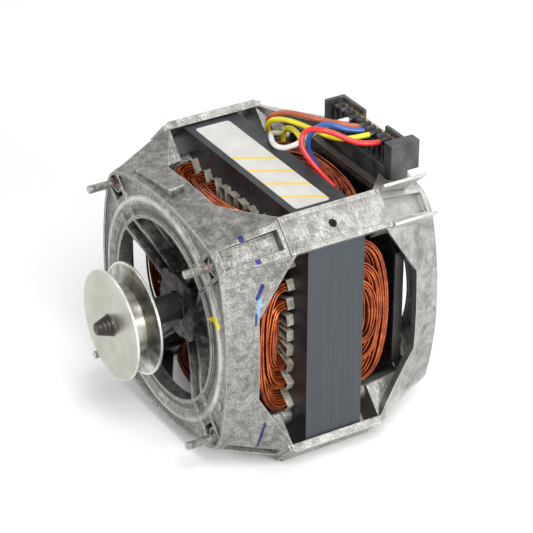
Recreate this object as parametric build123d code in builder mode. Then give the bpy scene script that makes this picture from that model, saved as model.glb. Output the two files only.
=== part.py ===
from build123d import *
import os
from math import cos, pi, radians, sin, sqrt, tan

os.makedirs("parts", exist_ok=True)

# A four pole washing machine motor with open die-cast end shields.
# The origin is on the shaft axis, in the plane of the front mounting face.
# +Y runs back through the motor, +X is the side with the bare lamination band, +Z is up.
# Lengths are in millimetres, angles in degrees.

# Driving sizes of the lamination stack
stack_side = 142.5
stack_cut = 13.1  # leg of each cut corner
stack_front = 46.0  # from the mounting face to the stack
stack_thick = 34.0
bore_radius = 42.0
overrun = 2.0  # how far a cutting solid runs past what it cuts

# Slots of the stack, nine on each side
slot_step = 9.5  # degrees between slots
slots_each_way = 4  # slots on either side of the middle one
slot_mouth = 2.0
slot_root_radius = 45.5
slot_root_width = 4.2
slot_neck_radius = 50.0
slot_width = 6.2
slot_floor = 57.6  # slot floors lie on four flat planes this far out

# Slot liners
liner_gap = 0.1
liner_wall = 0.4
liner_cuff = 4.0  # how far a liner stands out of each face

# Main winding, three concentric coils on each of the four poles
wire = 1.3
wire_pitch = 1.85
row_inner = 45.0  # the innermost row of wires, from the plane through the shaft
coil_slots = (4, 3, 2)  # the slot that each coil's sides lie in
coil_loops = (9, 8, 7)
turn_inner = 49.0  # the innermost wires in the middle of an end turn
turn_overhang = 24.0  # the end turns stand this far out of the stack
coil_step = 3.7  # from one coil to the next in the middle of an end turn
coil_tail = 0.6  # a coil's two ends stand out of its slot

# Through bolts, which end as the four mounting studs
bolt_span = 104.0
bolt_radius = 2.09
bolt_shank_radius = 1.85
bolt_gap = 0.2
stud_length = 15.5
bolt_head_radius = 4.4
bolt_head_height = 3.2

# End shields
shield_half = 67.5  # half the width across flats of a shield's face
shield_corner = 56.0  # the middle of each rounded corner lies this far out both ways
shield_corner_start_share = 0.74  # where the side's curve ends, of its half width
shield_corner_drop_share = 0.89
wall = 3.4
skirt_half = 73.0  # half width of the skirt where it meets the arms
skirt_cut = 13.4
skirt_bulge = 0.5
skirt_depth = 38.0
rear_face = 130.0
face_thick = 3.4
face_sink = 1.2
opening_radius = 50.0
lip_wall = 1.8
lip_depth = 8.0
band_inner = 56.0
band_outer = 64.0
band_rise = 1.6
pocket_depth = 6.0
pocket_inner = 65.5
pocket_outer = 74.5
pocket_half = 8.0
rib_spacing = 13.0
rib_wall = 2.0
rib_outer = 77.5
rib_inner = 44.0
rib_depth = 9.0
spoke_half = 8.2
spoke_plate = 3.0
spoke_sink = 8.0  # the spoke's floor at the opening, behind the face
spoke_hub_sink = 13.0  # the same at the hub
spoke_root = 15.0  # the spoke starts inside the hub
boss_radius = 5.5
boss_recess_radius = 4.4
boss_recess = 1.5
arm_gap = 0.1
arm_thick = 3.0
arm_half = 10.5
arm_ridge = 1.4
arm_ridge_width = 2.6
front_arm_past = 4.0  # the front arms run on past the stack's rear face
channel_half = 5.6
channel_start = 3.5
channel_end = 33.0
channel_floor_front = 73.5
channel_floor_rear = 86.0
arch_front = 18.0  # depth of the skirt in the middle of a side
arch_front_half = 24.0
arch_shoulder_share = 0.62
arch_round = 7.0
rear_arch = 15.0
rear_top_arch = 8.0
arm_hole_radius = 2.4

# Hubs and bearings
hub_radius = 18.0
hub_lobe_radius = 6.5
hub_lobe_place = 14.5
hub_front = 8.5
hub_depth = 20.0
hub_wall = 2.5
hub_cavity_radius = 15.0
hub_mouth_radius = 7.9
rear_hub_front = 104.0
rear_hub_depth = 22.0
bearing_length = 15.5
bearing_radius = 9.0
bearing_belly_radius = 11.4
bearing_belly = 9.0
running_gap = 0.03
wick_gap = 0.2
retainer_thick = 1.0

# Shaft, rotor and pulley
shaft_radius = 6.35
nose_length = 8.5
nose_base_radius = 6.1
nose_tip_radius = 3.3
nose_groove = 0.35
shaft_end_gap = 0.5
air_gap = 0.35
ring_outer = 40.6
ring_inner = 27.0
ring_thick = 6.0
fan_blades = 10
fan_height = 7.0
fan_wall = 2.2
pulley_front = -31.5
pulley_front_radius = 30.4
pulley_rear = -16.8
pulley_rear_radius = 31.0
pulley_rim = 1.3
pulley_drum_radius = 20.0
pulley_slope = 3.6  # rise of each groove wall from the drum to the rim
pulley_web = 2.4
pulley_boss_radius = 9.5
sleeve_radius = 7.3
sleeve_gap = 0.4
washer_thick = 1.2
washer_gap = 0.2
washer_radius = 10.0
rotor_collar_radius = 11.0

# Centrifugal switch at the rear of the rotor
plate_radius = 20.0
plate_thick = 1.6
plate_gap = 1.5
governor_hub_radius = 8.0
switch_gap = 0.35
pivot_place = 16.5  # each weight's pin, from the shaft axis
pivot_behind = 6.9  # each weight's pin, behind the plate
pivot_pin_radius = 1.0
pivot_gap = 0.05
ear_wall = 1.6
ear_low = 14.2
ear_high = 18.8
ear_length = 8.4
weight_half = 5.4
weight_low = 14.2
weight_high = 19.4
weight_ahead = 5.8
weight_behind = 1.6
finger_half = 2.0
finger_thick = 1.0
finger_low = 11.4
collar_radius = 12.6
collar_ahead = 2.5
collar_thick = 5.6
collar_groove = 2.2
collar_groove_radius = 10.4
collar_gap = 0.05
lever_thick = 1.4
lever_half = 3.4
lever_low = 9.6
lever_high = 27.0
lever_pivot = 22.0
lever_boss = 1.6
switch_plate_thick = 2.0
switch_low = 15.5
switch_high = 27.5
contact_radius = 1.5
contact_place = 25.2
contact_thick = 0.4

# Air baffle behind the windings
baffle_front = 110.0
baffle_thick = 2.0
baffle_half = 61.0
baffle_corner = 28.0
baffle_hole_radius = 24.0
baffle_rim_front = 106.5
baffle_rim_wall = 2.0
baffle_foot_radius = 3.0
baffle_foot_place = 40.0
baffle_foot_length = 4.3
bar_left = -40.5
bar_right = 40.5
bar_high = 65.2
bar_rear_high = 63.2
bar_front = 105.6
bar_wall = 1.8

# Terminal block at the top of the rear shield
block_left = -21.5
block_right = 44.0
block_front = 113.5
block_rear = 131.0
block_low = 58.5
block_low_rear = 124.0
block_floor = 72.0
block_wall = 2.0
block_top = 86.5
block_back = 124.0
block_end_width = 7.0
block_gap = 0.3
block_wall_share = 0.34  # each half of the castle-shaped back wall
terminal_pitch = 5.08
terminal_count = 10
terminal_last = 31.1  # across the motor, the terminal nearest the +X side
terminal_high = 83.5
barrel_radius = 1.95
barrel_front = 116.0
barrel_length = 5.5
tab_width = 3.6
tab_thick = 0.8
terminal_post = 1.6

# Leads, each from the windings over to its terminal
lead_radius = 1.5
lead_grip = 0.7  # a lead's end stands off its crimp barrel
lead_fillet_share = 0.45
lead_routes = {
    "lead_orange": [
        (-46, 95, 60.7), (-44.5, 90.5, 68), (-38.5, 90, 75.5), (-28.5, 93.5, 81), (-15, 96, 84),
        (-2, 99, 86), (6, 104, 86.5), (10, 110, 85),
    ],
    "lead_yellow_long": [
        (-42, 92, 60.7), (-40.5, 88, 68), (-35, 88, 75), (-25.5, 90.5, 78.5), (-12, 93, 80.5),
        (2, 94, 82), (13.5, 97.5, 82.5), (19.5, 103.5, 83),
    ],
    "lead_white": [
        (-37.5, 100, 61.5), (-36, 89, 66.5), (-22, 79.5, 73.3), (-10, 74, 74.2), (-2.5, 75.5, 75),
        (-0.5, 80.5, 76), (-2.5, 87.5, 76.5), (-5.5, 96.5, 77.5), (-5.5, 105.5, 79.5), (-1.5, 109.5, 82.3),
    ],
    "lead_blue": [
        (0, 96, 60.7), (1, 91.5, 67), (2, 88, 74.5), (2.5, 88.5, 81.5), (3.5, 92.5, 86),
        (6.5, 97.5, 88), (11, 101.5, 87), (14, 108, 84.5),
    ],
    "lead_red": [
        (26, 90, 61), (21.5, 86.5, 66), (17, 83, 71.5), (14, 79.5, 77.5), (11, 78, 83),
        (9, 80.5, 88), (12, 84.5, 91), (17, 88.5, 91), (20, 94, 89), (26.5, 99.5, 86), (30.5, 107, 84),
    ],
}
lead_terminals = {"lead_orange": 4, "lead_yellow_long": 2, "lead_white": 6, "lead_blue": 3, "lead_red": 0}
short_lead_route = [
    (-34, 95, 60.7), (-33, 94.5, 67.5), (-26.5, 94, 72.5), (-17.5, 94, 73), (-11, 94, 68), (-10, 95, 61),
]

# Overload protector, tied to the rear end turns on the left
protector_length = 26.0
protector_width = 12.0
protector_thick = 5.0
protector_place = 59.3
protector_start = 90.5
protector_round = 2.0

# Label on the top of the stack
label_length = 104.0
label_width = 21.0
label_thick = 0.2
label_corner = 2.0
label_front = 50.0

# Places that follow from the sizes above
stack_rear = stack_front + stack_thick
stack_half = stack_side / 2
stack_diag = (stack_side - stack_cut) / sqrt(2)
bolt_place = bolt_span / 2
bolt_diag = bolt_place * sqrt(2)
corner_diag = shield_corner * sqrt(2)
front_arm_end = stack_rear + front_arm_past
corner_angles = (45, 135, 225, 315)
side_angles = (0, 90, 180, 270)
rotor_radius = bore_radius - air_gap
spin_axis = Axis.Y


def station(y):
    """A sketch plane square to the shaft; its x and y run along +X and +Z."""
    return Plane.XZ.offset(-y)


def radial_plane(angle):
    """A plane through the shaft; its x runs out at this angle from +X, its y runs along +Y."""
    a = radians(angle)
    return Plane(origin=(0, 0, 0), x_dir=(cos(a), 0, sin(a)), z_dir=(-sin(a), 0, cos(a)))


def save(part, name):
    """Label a finished piece and write it to its own file."""
    part.label = name
    export_step(part, f"parts/{name}.step")


def face_outline(plane, inset):
    """The rounded square of a shield's face, with gently bowed sides, drawn in from its edge."""
    half = shield_half - inset
    start = shield_half * shield_corner_start_share - inset / 2
    drop = shield_half * shield_corner_drop_share - inset
    corner = shield_corner - inset / sqrt(2)
    return ring_of_arcs(plane, [(drop, -start), (half, 0), (drop, start), (corner, corner), (start, drop)])


def skirt_outline(plane, inset):
    """The cut-cornered square of a shield's skirt where it meets the arms."""
    half = skirt_half - inset
    side = skirt_half - skirt_cut - inset * tan(radians(22.5))
    middle = (half + side) / 2 + skirt_bulge
    one_side = [(half, -side), (half + skirt_bulge, 0), (half, side)]
    return ring_of_arcs(plane, one_side + [(middle, middle), (side, half)])


def ring_of_arcs(plane, points):
    """A closed outline of one side arc and one corner arc, repeated round the four sides."""
    with BuildSketch(plane) as outline:
        with BuildLine():
            for angle in side_angles:
                a = radians(angle)
                turned = [(x * cos(a) - z * sin(a), x * sin(a) + z * cos(a)) for x, z in points]
                ThreePointArc(*turned[:3])
                ThreePointArc(*turned[2:])
        make_face()
    return outline.sketch


def polygon(plane, *points):
    """A flat shape with straight sides."""
    with BuildSketch(plane) as shape:
        Polygon(*points, align=None)
    return shape.sketch


def discs(plane, radius, *centres):
    """Equal round shapes at these centres, or one on the shaft axis."""
    with BuildSketch(plane) as shape:
        with Locations(*(centres or [(0, 0)])):
            Circle(radius)
    return shape.sketch


def cut_square(plane, half, cut):
    """A square with four cut corners."""
    with BuildSketch(plane) as shape:
        outline = Rectangle(2 * half, 2 * half)
        chamfer(outline.vertices(), cut)
    return shape.sketch


def shield_shell(face, inward, arches):
    """A hollow skirt that widens from the face to the stack, with an arch cut in each side."""
    def at(depth):
        return station(face + inward * depth)
    loft([face_outline(at(0), 0), skirt_outline(at(skirt_depth), 0)], ruled=True)
    inside = face_sink + face_thick
    loft(
        [face_outline(at(inside), wall), skirt_outline(at(skirt_depth + overrun), wall)],
        ruled=True,
        mode=Mode.SUBTRACT,
    )
    sunk = face_outline(at(-overrun), wall / 2)
    extrude(sunk, amount=-inward * (overrun + face_sink), mode=Mode.SUBTRACT)
    wide = stack_half - stack_cut + arm_gap
    deep = skirt_depth + overrun
    for angle, arch in zip(side_angles, arches):
        shoulder = arch + (skirt_depth - arch) * arch_shoulder_share
        shoulder_half = arch_front_half + (wide - arch_front_half) * arch_shoulder_share
        half_arch = [(arch, arch_front_half), (shoulder, shoulder_half), (skirt_depth, wide), (deep, wide)]
        outline = half_arch + [(d, -w) for d, w in reversed(half_arch)]
        a = radians(angle)
        side = Plane(origin=(0, face, 0), x_dir=(0, inward, 0), z_dir=(cos(a), 0, sin(a)))
        with BuildSketch(side.offset(bolt_place)) as opening:
            arch_shape = Polygon(*outline, align=None)
            fillet([v for v in arch_shape.vertices() if v.X < skirt_depth - wall], arch_round)
        extrude(opening.sketch, amount=skirt_half, mode=Mode.SUBTRACT)


def shield_face(face, inward):
    """The round opening, the lip round it, and the raised band outside the lip."""
    def at(depth):
        return station(face + inward * depth)
    opening = discs(at(-overrun), opening_radius)
    extrude(opening, amount=-inward * (lip_depth + 2 * overrun), mode=Mode.SUBTRACT)
    lip = opening_radius + lip_wall
    revolve(
        polygon(
            Plane.XY,
            (opening_radius, face),
            (lip, face),
            (lip, face + inward * lip_depth),
            (opening_radius, face + inward * lip_depth),
        ),
        axis=spin_axis,
    )
    crest = (band_inner + band_outer) / 2
    low = face + inward * (face_sink + face_thick / 2)
    high = face + inward * face_sink
    with BuildSketch(Plane.XY) as band:
        with BuildLine():
            ThreePointArc((band_inner, high), (crest, high - inward * band_rise), (band_outer, high))
            Polyline((band_outer, high), (band_outer, low), (band_inner, low), (band_inner, high))
        make_face()
    revolve(band.sketch, axis=spin_axis)


def shield_corners(face, inward, hub_face, seat):
    """Each corner's pocket, through bolt post, pair of ribs and spoke."""
    def out(depth):
        return face + inward * depth
    lip = opening_radius + lip_wall
    floor_rear = pocket_depth + spoke_plate
    for angle in corner_angles:
        corner = radial_plane(angle)
        floor = polygon(
            corner,
            (lip - lip_wall / 2, out(pocket_depth)),
            (corner_diag, out(pocket_depth)),
            (corner_diag, out(floor_rear)),
            (lip - lip_wall / 2, out(floor_rear)),
        )
        extrude(floor, amount=spoke_half, both=True)
        pocket = polygon(
            corner,
            (pocket_inner, out(-overrun)),
            (pocket_outer, out(-overrun)),
            (pocket_outer, out(pocket_depth)),
            (pocket_inner, out(pocket_depth)),
        )
        extrude(pocket, amount=pocket_half, both=True, mode=Mode.SUBTRACT)
        spoke = polygon(
            corner,
            (spoke_root, hub_face + inward * (spoke_hub_sink - hub_wall)),
            (lip, out(spoke_sink)),
            (lip, out(spoke_sink + spoke_plate)),
            (spoke_root, hub_face + inward * (spoke_hub_sink - hub_wall + spoke_plate)),
        )
        extrude(spoke, amount=spoke_half, both=True)
        rib = [
            (spoke_root, hub_face + inward * (spoke_hub_sink - hub_wall + spoke_plate)),
            (spoke_root, hub_face + inward * hub_wall),
            (rib_inner - spoke_half, out(spoke_sink - spoke_plate)),
            (rib_inner, out(lip_wall)),
            (opening_radius, out(0)),
            (rib_outer, out(0)),
            (rib_outer, out(rib_depth)),
            (opening_radius, out(spoke_sink + spoke_plate)),
        ]
        for place in (rib_spacing / 2, -rib_spacing / 2):
            extrude(polygon(corner.offset(place - rib_wall / 2), *rib), amount=rib_wall)
    places = [(bolt_place * x, bolt_place * z) for x, z in ((1, 1), (-1, 1), (-1, -1), (1, -1))]
    post = station(out(face_sink))
    extrude(discs(post, boss_radius, *places), amount=out(face_sink) - seat)


def shield_arms(face, inward, arm_end):
    """The corner pads with their open channels, and the arms that hold the stack's cut corners."""
    def out(depth):
        return face + inward * depth
    seat = stack_diag + arm_gap
    top = seat + arm_thick
    start = out(skirt_depth - wall)
    for angle in corner_angles:
        corner = radial_plane(angle)
        arm = polygon(corner, (seat, start), (top, start), (top, arm_end), (seat, arm_end))
        extrude(arm, amount=arm_half, both=True)
        crest = top + arm_ridge
        root = top - wall / 2
        ridge = [(root, start), (crest, out(skirt_depth)), (crest, arm_end), (root, arm_end)]
        for place in (arm_half - arm_ridge_width, -arm_half):
            extrude(polygon(corner.offset(place), *ridge), amount=arm_ridge_width)
        pad = polygon(
            corner,
            (channel_floor_front - wall, out(channel_start)),
            (corner_diag - wall / 2, out(channel_start)),
            (seat, out(skirt_depth)),
            (bolt_diag, out(skirt_depth)),
        )
        extrude(pad, amount=channel_half + wall, both=True)
        channel = polygon(
            corner,
            (channel_floor_front + wall, out(channel_start)),
            (channel_floor_front + skirt_depth, out(channel_start)),
            (channel_floor_front + skirt_depth, out(channel_end)),
            (channel_floor_rear, out(channel_end)),
        )
        extrude(channel, amount=channel_half, both=True, mode=Mode.SUBTRACT)


def bolt_holes(face, inward):
    """The four holes of the through bolts, each with its recess in the face."""
    places = [(bolt_place * x, bolt_place * z) for x, z in ((1, 1), (-1, 1), (-1, -1), (1, -1))]
    hole = station(face - inward * overrun)
    recess_depth = overrun + face_sink + boss_recess
    extrude(discs(hole, boss_recess_radius, *places), amount=-inward * recess_depth, mode=Mode.SUBTRACT)
    through = discs(hole, bolt_radius + bolt_gap, *places)
    extrude(through, amount=-inward * rear_face / 2, mode=Mode.SUBTRACT)


def shield_hub(hub_face, inward, depth):
    """The bearing hub with four lobes, and its cavity."""
    lobes = [(hub_lobe_place * cos(radians(a)), hub_lobe_place * sin(radians(a))) for a in corner_angles]
    extrude(discs(station(hub_face), hub_radius), amount=-inward * depth)
    extrude(discs(station(hub_face), hub_lobe_radius, *lobes), amount=-inward * depth)
    cavity = discs(station(hub_face + inward * hub_wall), hub_cavity_radius)
    extrude(cavity, amount=-inward * (depth + overrun), mode=Mode.SUBTRACT)


# Front end shield
with BuildPart() as front_end_shield:
    shield_shell(0, 1, (arch_front,) * len(side_angles))
    shield_face(0, 1)
    shield_corners(0, 1, hub_front, stack_front)
    shield_arms(0, 1, front_arm_end)
    bolt_holes(0, 1)
    shield_hub(hub_front, 1, hub_depth)
    mouth = discs(station(hub_front - overrun), hub_mouth_radius)
    extrude(mouth, amount=-hub_wall - 2 * overrun, mode=Mode.SUBTRACT)
    outward = Vector(sqrt(0.5), 0, sqrt(0.5))
    arm_middle = Vector(0, stack_front + stack_thick / 2, 0) + outward * stack_diag
    hole = discs(Plane(origin=arm_middle, x_dir=(0, 1, 0), z_dir=outward), arm_hole_radius)
    extrude(hole, amount=arm_gap + arm_thick + overrun, mode=Mode.SUBTRACT)
save(front_end_shield.part, "front_end_shield")

# Rear end shield
with BuildPart() as rear_end_shield:
    shield_shell(rear_face, -1, (rear_arch, rear_top_arch, rear_arch, rear_arch))
    shield_face(rear_face, -1)
    shield_corners(rear_face, -1, rear_hub_front + rear_hub_depth, stack_rear)
    shield_arms(rear_face, -1, front_arm_end + arm_gap)
    bolt_holes(rear_face, -1)
    shield_hub(rear_hub_front + rear_hub_depth, -1, rear_hub_depth)
    block_notch = polygon(
        Plane.YZ.offset(block_left - block_gap),
        (rear_face - skirt_depth / 2 - block_gap, block_low - block_gap),
        (block_low_rear + block_gap, block_low - block_gap),
        (block_low_rear + block_gap, skirt_half),
        (rear_face - skirt_depth / 2 - block_gap, skirt_half),
    )
    extrude(block_notch, amount=block_right - block_left + 2 * block_gap, mode=Mode.SUBTRACT)
save(rear_end_shield.part, "rear_end_shield")


slot_angles = [slot_step * n for n in range(-slots_each_way, slots_each_way + 1)]


def slot_shape(angle, inset):
    """The outline of a slot on the +X side, drawn in by a clearance, open towards the bore."""
    floor = slot_floor / cos(radians(angle)) - inset
    half = slot_width / 2 - inset
    root = slot_root_width / 2 - inset
    side = [(slot_root_radius, root), (slot_neck_radius, half), (floor, half)]
    a = radians(angle)
    points = [(r * cos(a) - t * sin(a), r * sin(a) + t * cos(a)) for r, t in side]
    points += [(r * cos(a) + t * sin(a), r * sin(a) - t * cos(a)) for r, t in reversed(side)]
    return points


# Stack of stator laminations
bolt_places = [(bolt_place * x, bolt_place * z) for x, z in ((1, 1), (-1, 1), (-1, -1), (1, -1))]
with BuildPart() as stator_core:
    with BuildSketch(station(stack_front)):
        plate = Rectangle(stack_side, stack_side)
        chamfer(plate.vertices(), stack_cut)
        Circle(bore_radius, mode=Mode.SUBTRACT)
        with Locations(*bolt_places):
            Circle(bolt_radius + bolt_gap, mode=Mode.SUBTRACT)
        for angle in slot_angles:
            with PolarLocations(0, len(side_angles)):
                Polygon(*slot_shape(angle, 0), align=None, mode=Mode.SUBTRACT)
            with PolarLocations(0, len(side_angles), start_angle=angle):
                Rectangle(slot_root_radius, slot_mouth, align=(Align.MIN, Align.CENTER), mode=Mode.SUBTRACT)
    extrude(amount=-stack_thick)
save(stator_core.part, "stator_core")

# Slot liners, one folded sheet in each slot
with BuildPart() as slot_liners:
    with BuildSketch(station(stack_front - liner_cuff)):
        for angle in slot_angles:
            with PolarLocations(0, len(side_angles)):
                Polygon(*slot_shape(angle, liner_gap), align=None)
        for angle in slot_angles:
            with PolarLocations(0, len(side_angles)):
                Polygon(*slot_shape(angle, liner_gap + liner_wall), align=None, mode=Mode.SUBTRACT)
            with PolarLocations(0, len(side_angles), start_angle=angle):
                Rectangle(
                    slot_root_radius + liner_cuff,
                    slot_mouth,
                    align=(Align.MIN, Align.CENTER),
                    mode=Mode.SUBTRACT,
                )
    extrude(amount=-stack_thick - 2 * liner_cuff)
save(slot_liners.part, "slot_liners")

forward, back = Vector(0, -1, 0), Vector(0, 1, 0)
fan_step = wire_pitch / sqrt(2)


def biarc(start, start_way, end, end_way):
    """Two arcs that leave one point and reach another along the given directions."""
    span = end - start
    ways = start_way + end_way
    square = 2 * (1 - start_way.dot(end_way))
    reach = (sqrt(span.dot(ways) ** 2 + square * span.dot(span)) - span.dot(ways)) / square
    first = start + start_way * reach
    second = end - end_way * reach
    joint = (first + second) * 0.5
    return TangentArc(start, joint, tangent=start_way), TangentArc(joint, end, tangent=second - first)


def coil_wire(coil):
    """The centreline of one coil: its sides in two slots, its end turns on biarcs of a quarter turn."""
    slope = radians(slot_step * coil_slots[coil])
    down, up = Vector(0, 0, -1), Vector(0, 0, 1)
    with BuildLine() as path:
        for loop in range(coil_loops[coil]):
            x = row_inner + wire_pitch * cos(slope) * loop
            z = x * tan(slope)
            reach = turn_overhang - coil_step * coil - fan_step * (coil_loops[0] - 1 - loop)
            middle = turn_inner + fan_step * loop
            rear_turn = Vector(middle, stack_rear + reach, 0)
            front_turn = Vector(middle, stack_front - reach, 0)
            Line((x, stack_front - coil_tail * (loop == 0), z), (x, stack_rear, z))
            biarc(Vector(x, stack_rear, z), back, rear_turn, down)
            biarc(rear_turn, down, Vector(x, stack_rear, -z), forward)
            last = loop == coil_loops[coil] - 1
            Line((x, stack_rear, -z), (x, stack_front - coil_tail * last, -z))
            if not last:
                biarc(Vector(x, stack_front, -z), forward, front_turn, up)
                x += wire_pitch * cos(slope)
                biarc(front_turn, up, Vector(x, stack_front, x * tan(slope)), back)
    return path.wire()


# Main winding, one node for each pole
coil_wires = [coil_wire(coil) for coil in range(len(coil_slots))]
with BuildPart() as main_coils:
    for line in coil_wires:
        with BuildSketch(Plane(origin=line @ 0, z_dir=line % 0)) as section:
            Circle(wire / 2)
        sweep(section.sketch, path=line)
coil_length = sum(line.length for line in coil_wires)
print("coil volume over section times length", main_coils.part.volume / (coil_length * pi * wire**2 / 4))
coil_names = ("main_coils_right", "main_coils_top", "main_coils_left", "main_coils_bottom")
for pole, name in zip(side_angles, coil_names):
    with BuildPart() as pole_coils:
        add(main_coils.part, rotation=(0, -pole, 0))
    save(pole_coils.part, name)


def least_gap(lines):
    """The least gap between wires that are not neighbours along the same coil."""
    points = []
    for number, line in enumerate(lines):
        run = 0.0
        for edge in line.edges():
            steps = max(2, round(edge.length / wire))
            spots = edge.positions([step / steps for step in range(steps)])
            points += [(spot, number, run + edge.length * step / steps) for step, spot in enumerate(spots)]
            run += edge.length
    cells = {}
    for spot, number, run in points:
        cell = (round(spot.X / wire_pitch), round(spot.Y / wire_pitch), round(spot.Z / wire_pitch))
        cells.setdefault(cell, []).append((spot.X, spot.Y, spot.Z, number, run))
    least = stack_side
    steps = (-1, 0, 1)
    for cell, inside in cells.items():
        around = [(cell[0] + i, cell[1] + j, cell[2] + k) for i in steps for j in steps for k in steps]
        near = [p for place in around for p in cells.get(place, ())]
        for x, y, z, number, run in inside:
            for px, py, pz, other, other_run in near:
                if number != other or abs(run - other_run) > stack_thick / 2:
                    gap = sqrt((x - px) ** 2 + (y - py) ** 2 + (z - pz) ** 2)
                    if gap < least:
                        least = gap

    return least - wire


print("least gap between the wires of a pole", round(least_gap(coil_wires), 3))

# Through bolts; their threaded ends are the mounting studs
with BuildPart() as through_bolts:
    head_place = rear_face - face_sink - boss_recess
    extrude(discs(station(-stud_length), bolt_radius, *bolt_places), amount=-stud_length)
    extrude(discs(station(0), bolt_shank_radius, *bolt_places), amount=-head_place)
    with BuildSketch(station(head_place)):
        with Locations(*bolt_places):
            RegularPolygon(bolt_head_radius - bolt_gap, 6)
    extrude(amount=-bolt_head_height)
save(through_bolts.part, "through_bolts")

# Bearings: a sleeve with a round belly that lets it line itself up
front_bearing_start = hub_front + hub_wall
rear_bearing_end = rear_hub_front + rear_hub_depth - hub_wall


def bearing_profile(start):
    """Half of a bearing's section, from the shaft outwards."""
    bore = shaft_radius + running_gap
    shoulder = (bearing_length - bearing_belly) / 2
    middle = start + bearing_length / 2
    with BuildSketch(Plane.XY) as section:
        with BuildLine():
            Polyline(
                (bearing_radius, start),
                (bore, start),
                (bore, start + bearing_length),
                (bearing_radius, start + bearing_length),
                (bearing_radius, start + bearing_length - shoulder),
            )
            ThreePointArc(
                (bearing_radius, start + bearing_length - shoulder),
                (bearing_belly_radius, middle),
                (bearing_radius, start + shoulder),
            )
            Line((bearing_radius, start + shoulder), (bearing_radius, start))
        make_face()
    return section.sketch


with BuildPart() as front_bearing:
    revolve(bearing_profile(front_bearing_start), axis=spin_axis)
save(front_bearing.part, "front_bearing")

with BuildPart() as rear_bearing:
    revolve(bearing_profile(rear_bearing_end - bearing_length), axis=spin_axis)
save(rear_bearing.part, "rear_bearing")


def ring(y, length, outer, inner):
    """A plain ring on the shaft axis that runs back from y."""
    with BuildSketch(station(y)) as section:
        Circle(outer)
        Circle(inner, mode=Mode.SUBTRACT)
    return extrude(section.sketch, amount=-length)


wick_inner = bearing_belly_radius + wick_gap
front_retainer = front_bearing_start + bearing_length - (bearing_length - bearing_belly) / 2
rear_retainer = rear_bearing_end - bearing_length + (bearing_length - bearing_belly) / 2
with BuildPart() as front_oil_wick:
    wick_length = front_retainer - front_bearing_start
    ring(front_bearing_start, wick_length, hub_cavity_radius - wick_gap, wick_inner)
save(front_oil_wick.part, "front_oil_wick")

with BuildPart() as rear_oil_wick:
    ring(rear_retainer, rear_bearing_end - rear_retainer, hub_cavity_radius - wick_gap, wick_inner)
save(rear_oil_wick.part, "rear_oil_wick")

with BuildPart() as front_bearing_retainer:
    ring(front_retainer, retainer_thick, hub_cavity_radius, bearing_radius)
save(front_bearing_retainer.part, "front_bearing_retainer")

with BuildPart() as rear_bearing_retainer:
    ring(rear_retainer - retainer_thick, retainer_thick, hub_cavity_radius, bearing_radius)
save(rear_bearing_retainer.part, "rear_bearing_retainer")

# Shaft with its grooved nose
nose_tip = pulley_front - nose_length
groove_places = [pulley_front - nose_length * share for share in (0.2, 0.45, 0.7)]
shaft_end = rear_bearing_end - shaft_end_gap


def nose_radius(y):
    """The nose's radius at this place."""
    share = (pulley_front - y) / nose_length
    return nose_base_radius + (nose_tip_radius - nose_base_radius) * share


with BuildPart() as rotor_shaft:
    with BuildSketch(station(pulley_front)):
        Circle(shaft_radius)
    extrude(amount=pulley_front - shaft_end)
    with BuildSketch(station(pulley_front)) as base:
        Circle(nose_base_radius)
    with BuildSketch(station(nose_tip)) as tip:
        Circle(nose_tip_radius)
    loft([base.sketch, tip.sketch], ruled=True)
    for place in groove_places:
        with BuildSketch(station(place - nose_groove)) as groove:
            Circle(nose_base_radius)
            Circle(nose_radius(place) - nose_groove, mode=Mode.SUBTRACT)
        extrude(groove.sketch, amount=-2 * nose_groove, mode=Mode.SUBTRACT)
    fillet(rotor_shaft.edges().sort_by(Axis.Y)[0], nose_groove)
save(rotor_shaft.part, "rotor_shaft")

# Rotor
with BuildPart() as rotor_core:
    ring(stack_front, stack_thick, rotor_radius, shaft_radius)
save(rotor_core.part, "rotor_core")

# Cast end rings of the rotor, with fan blades on the front one
with BuildPart() as rotor_cage:
    ring(stack_front - ring_thick, ring_thick, ring_outer, ring_inner)
    with BuildSketch(station(stack_front - ring_thick - fan_height)):
        with PolarLocations((ring_outer + ring_inner) / 2, fan_blades):
            Rectangle(ring_outer - ring_inner - 2 * fan_wall, fan_wall)
    extrude(amount=-fan_height)
    ring(stack_rear, ring_thick, ring_outer, ring_inner)
save(rotor_cage.part, "rotor_cage")

# Pulley: two flanges riveted to a drum, for a belt 12.7 wide
drum_front = pulley_front + pulley_rim + pulley_slope
drum_rear = pulley_rear - pulley_slope
with BuildPart() as pulley_front_flange:
    profile = polygon(
        Plane.XY,
        (shaft_radius, pulley_front),
        (pulley_front_radius, pulley_front),
        (pulley_front_radius, pulley_front + pulley_rim),
        (pulley_drum_radius, drum_front),
        (shaft_radius, drum_front),
    )
    revolve(profile, axis=spin_axis)
save(pulley_front_flange.part, "pulley_front_flange")

with BuildPart() as pulley_drum:
    ring(drum_front, drum_rear - drum_front, pulley_drum_radius, shaft_radius)
save(pulley_drum.part, "pulley_drum")

with BuildPart() as pulley_rear_flange:
    profile = polygon(
        Plane.XY,
        (shaft_radius, drum_rear),
        (pulley_drum_radius, drum_rear),
        (pulley_rear_radius, pulley_rear - pulley_rim),
        (pulley_rear_radius, pulley_rear),
        (pulley_rear_radius - pulley_web, pulley_rear),
        (pulley_drum_radius - pulley_web, drum_rear + pulley_web),
        (pulley_boss_radius, drum_rear + pulley_web),
        (pulley_boss_radius, pulley_rear),
        (shaft_radius, pulley_rear),
    )
    revolve(profile, axis=spin_axis)
save(pulley_rear_flange.part, "pulley_rear_flange")

# Sleeve between the pulley and the front hub
with BuildPart() as shaft_sleeve:
    ring(pulley_rear, hub_front - sleeve_gap - pulley_rear, sleeve_radius, shaft_radius)
save(shaft_sleeve.part, "shaft_sleeve")

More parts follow.
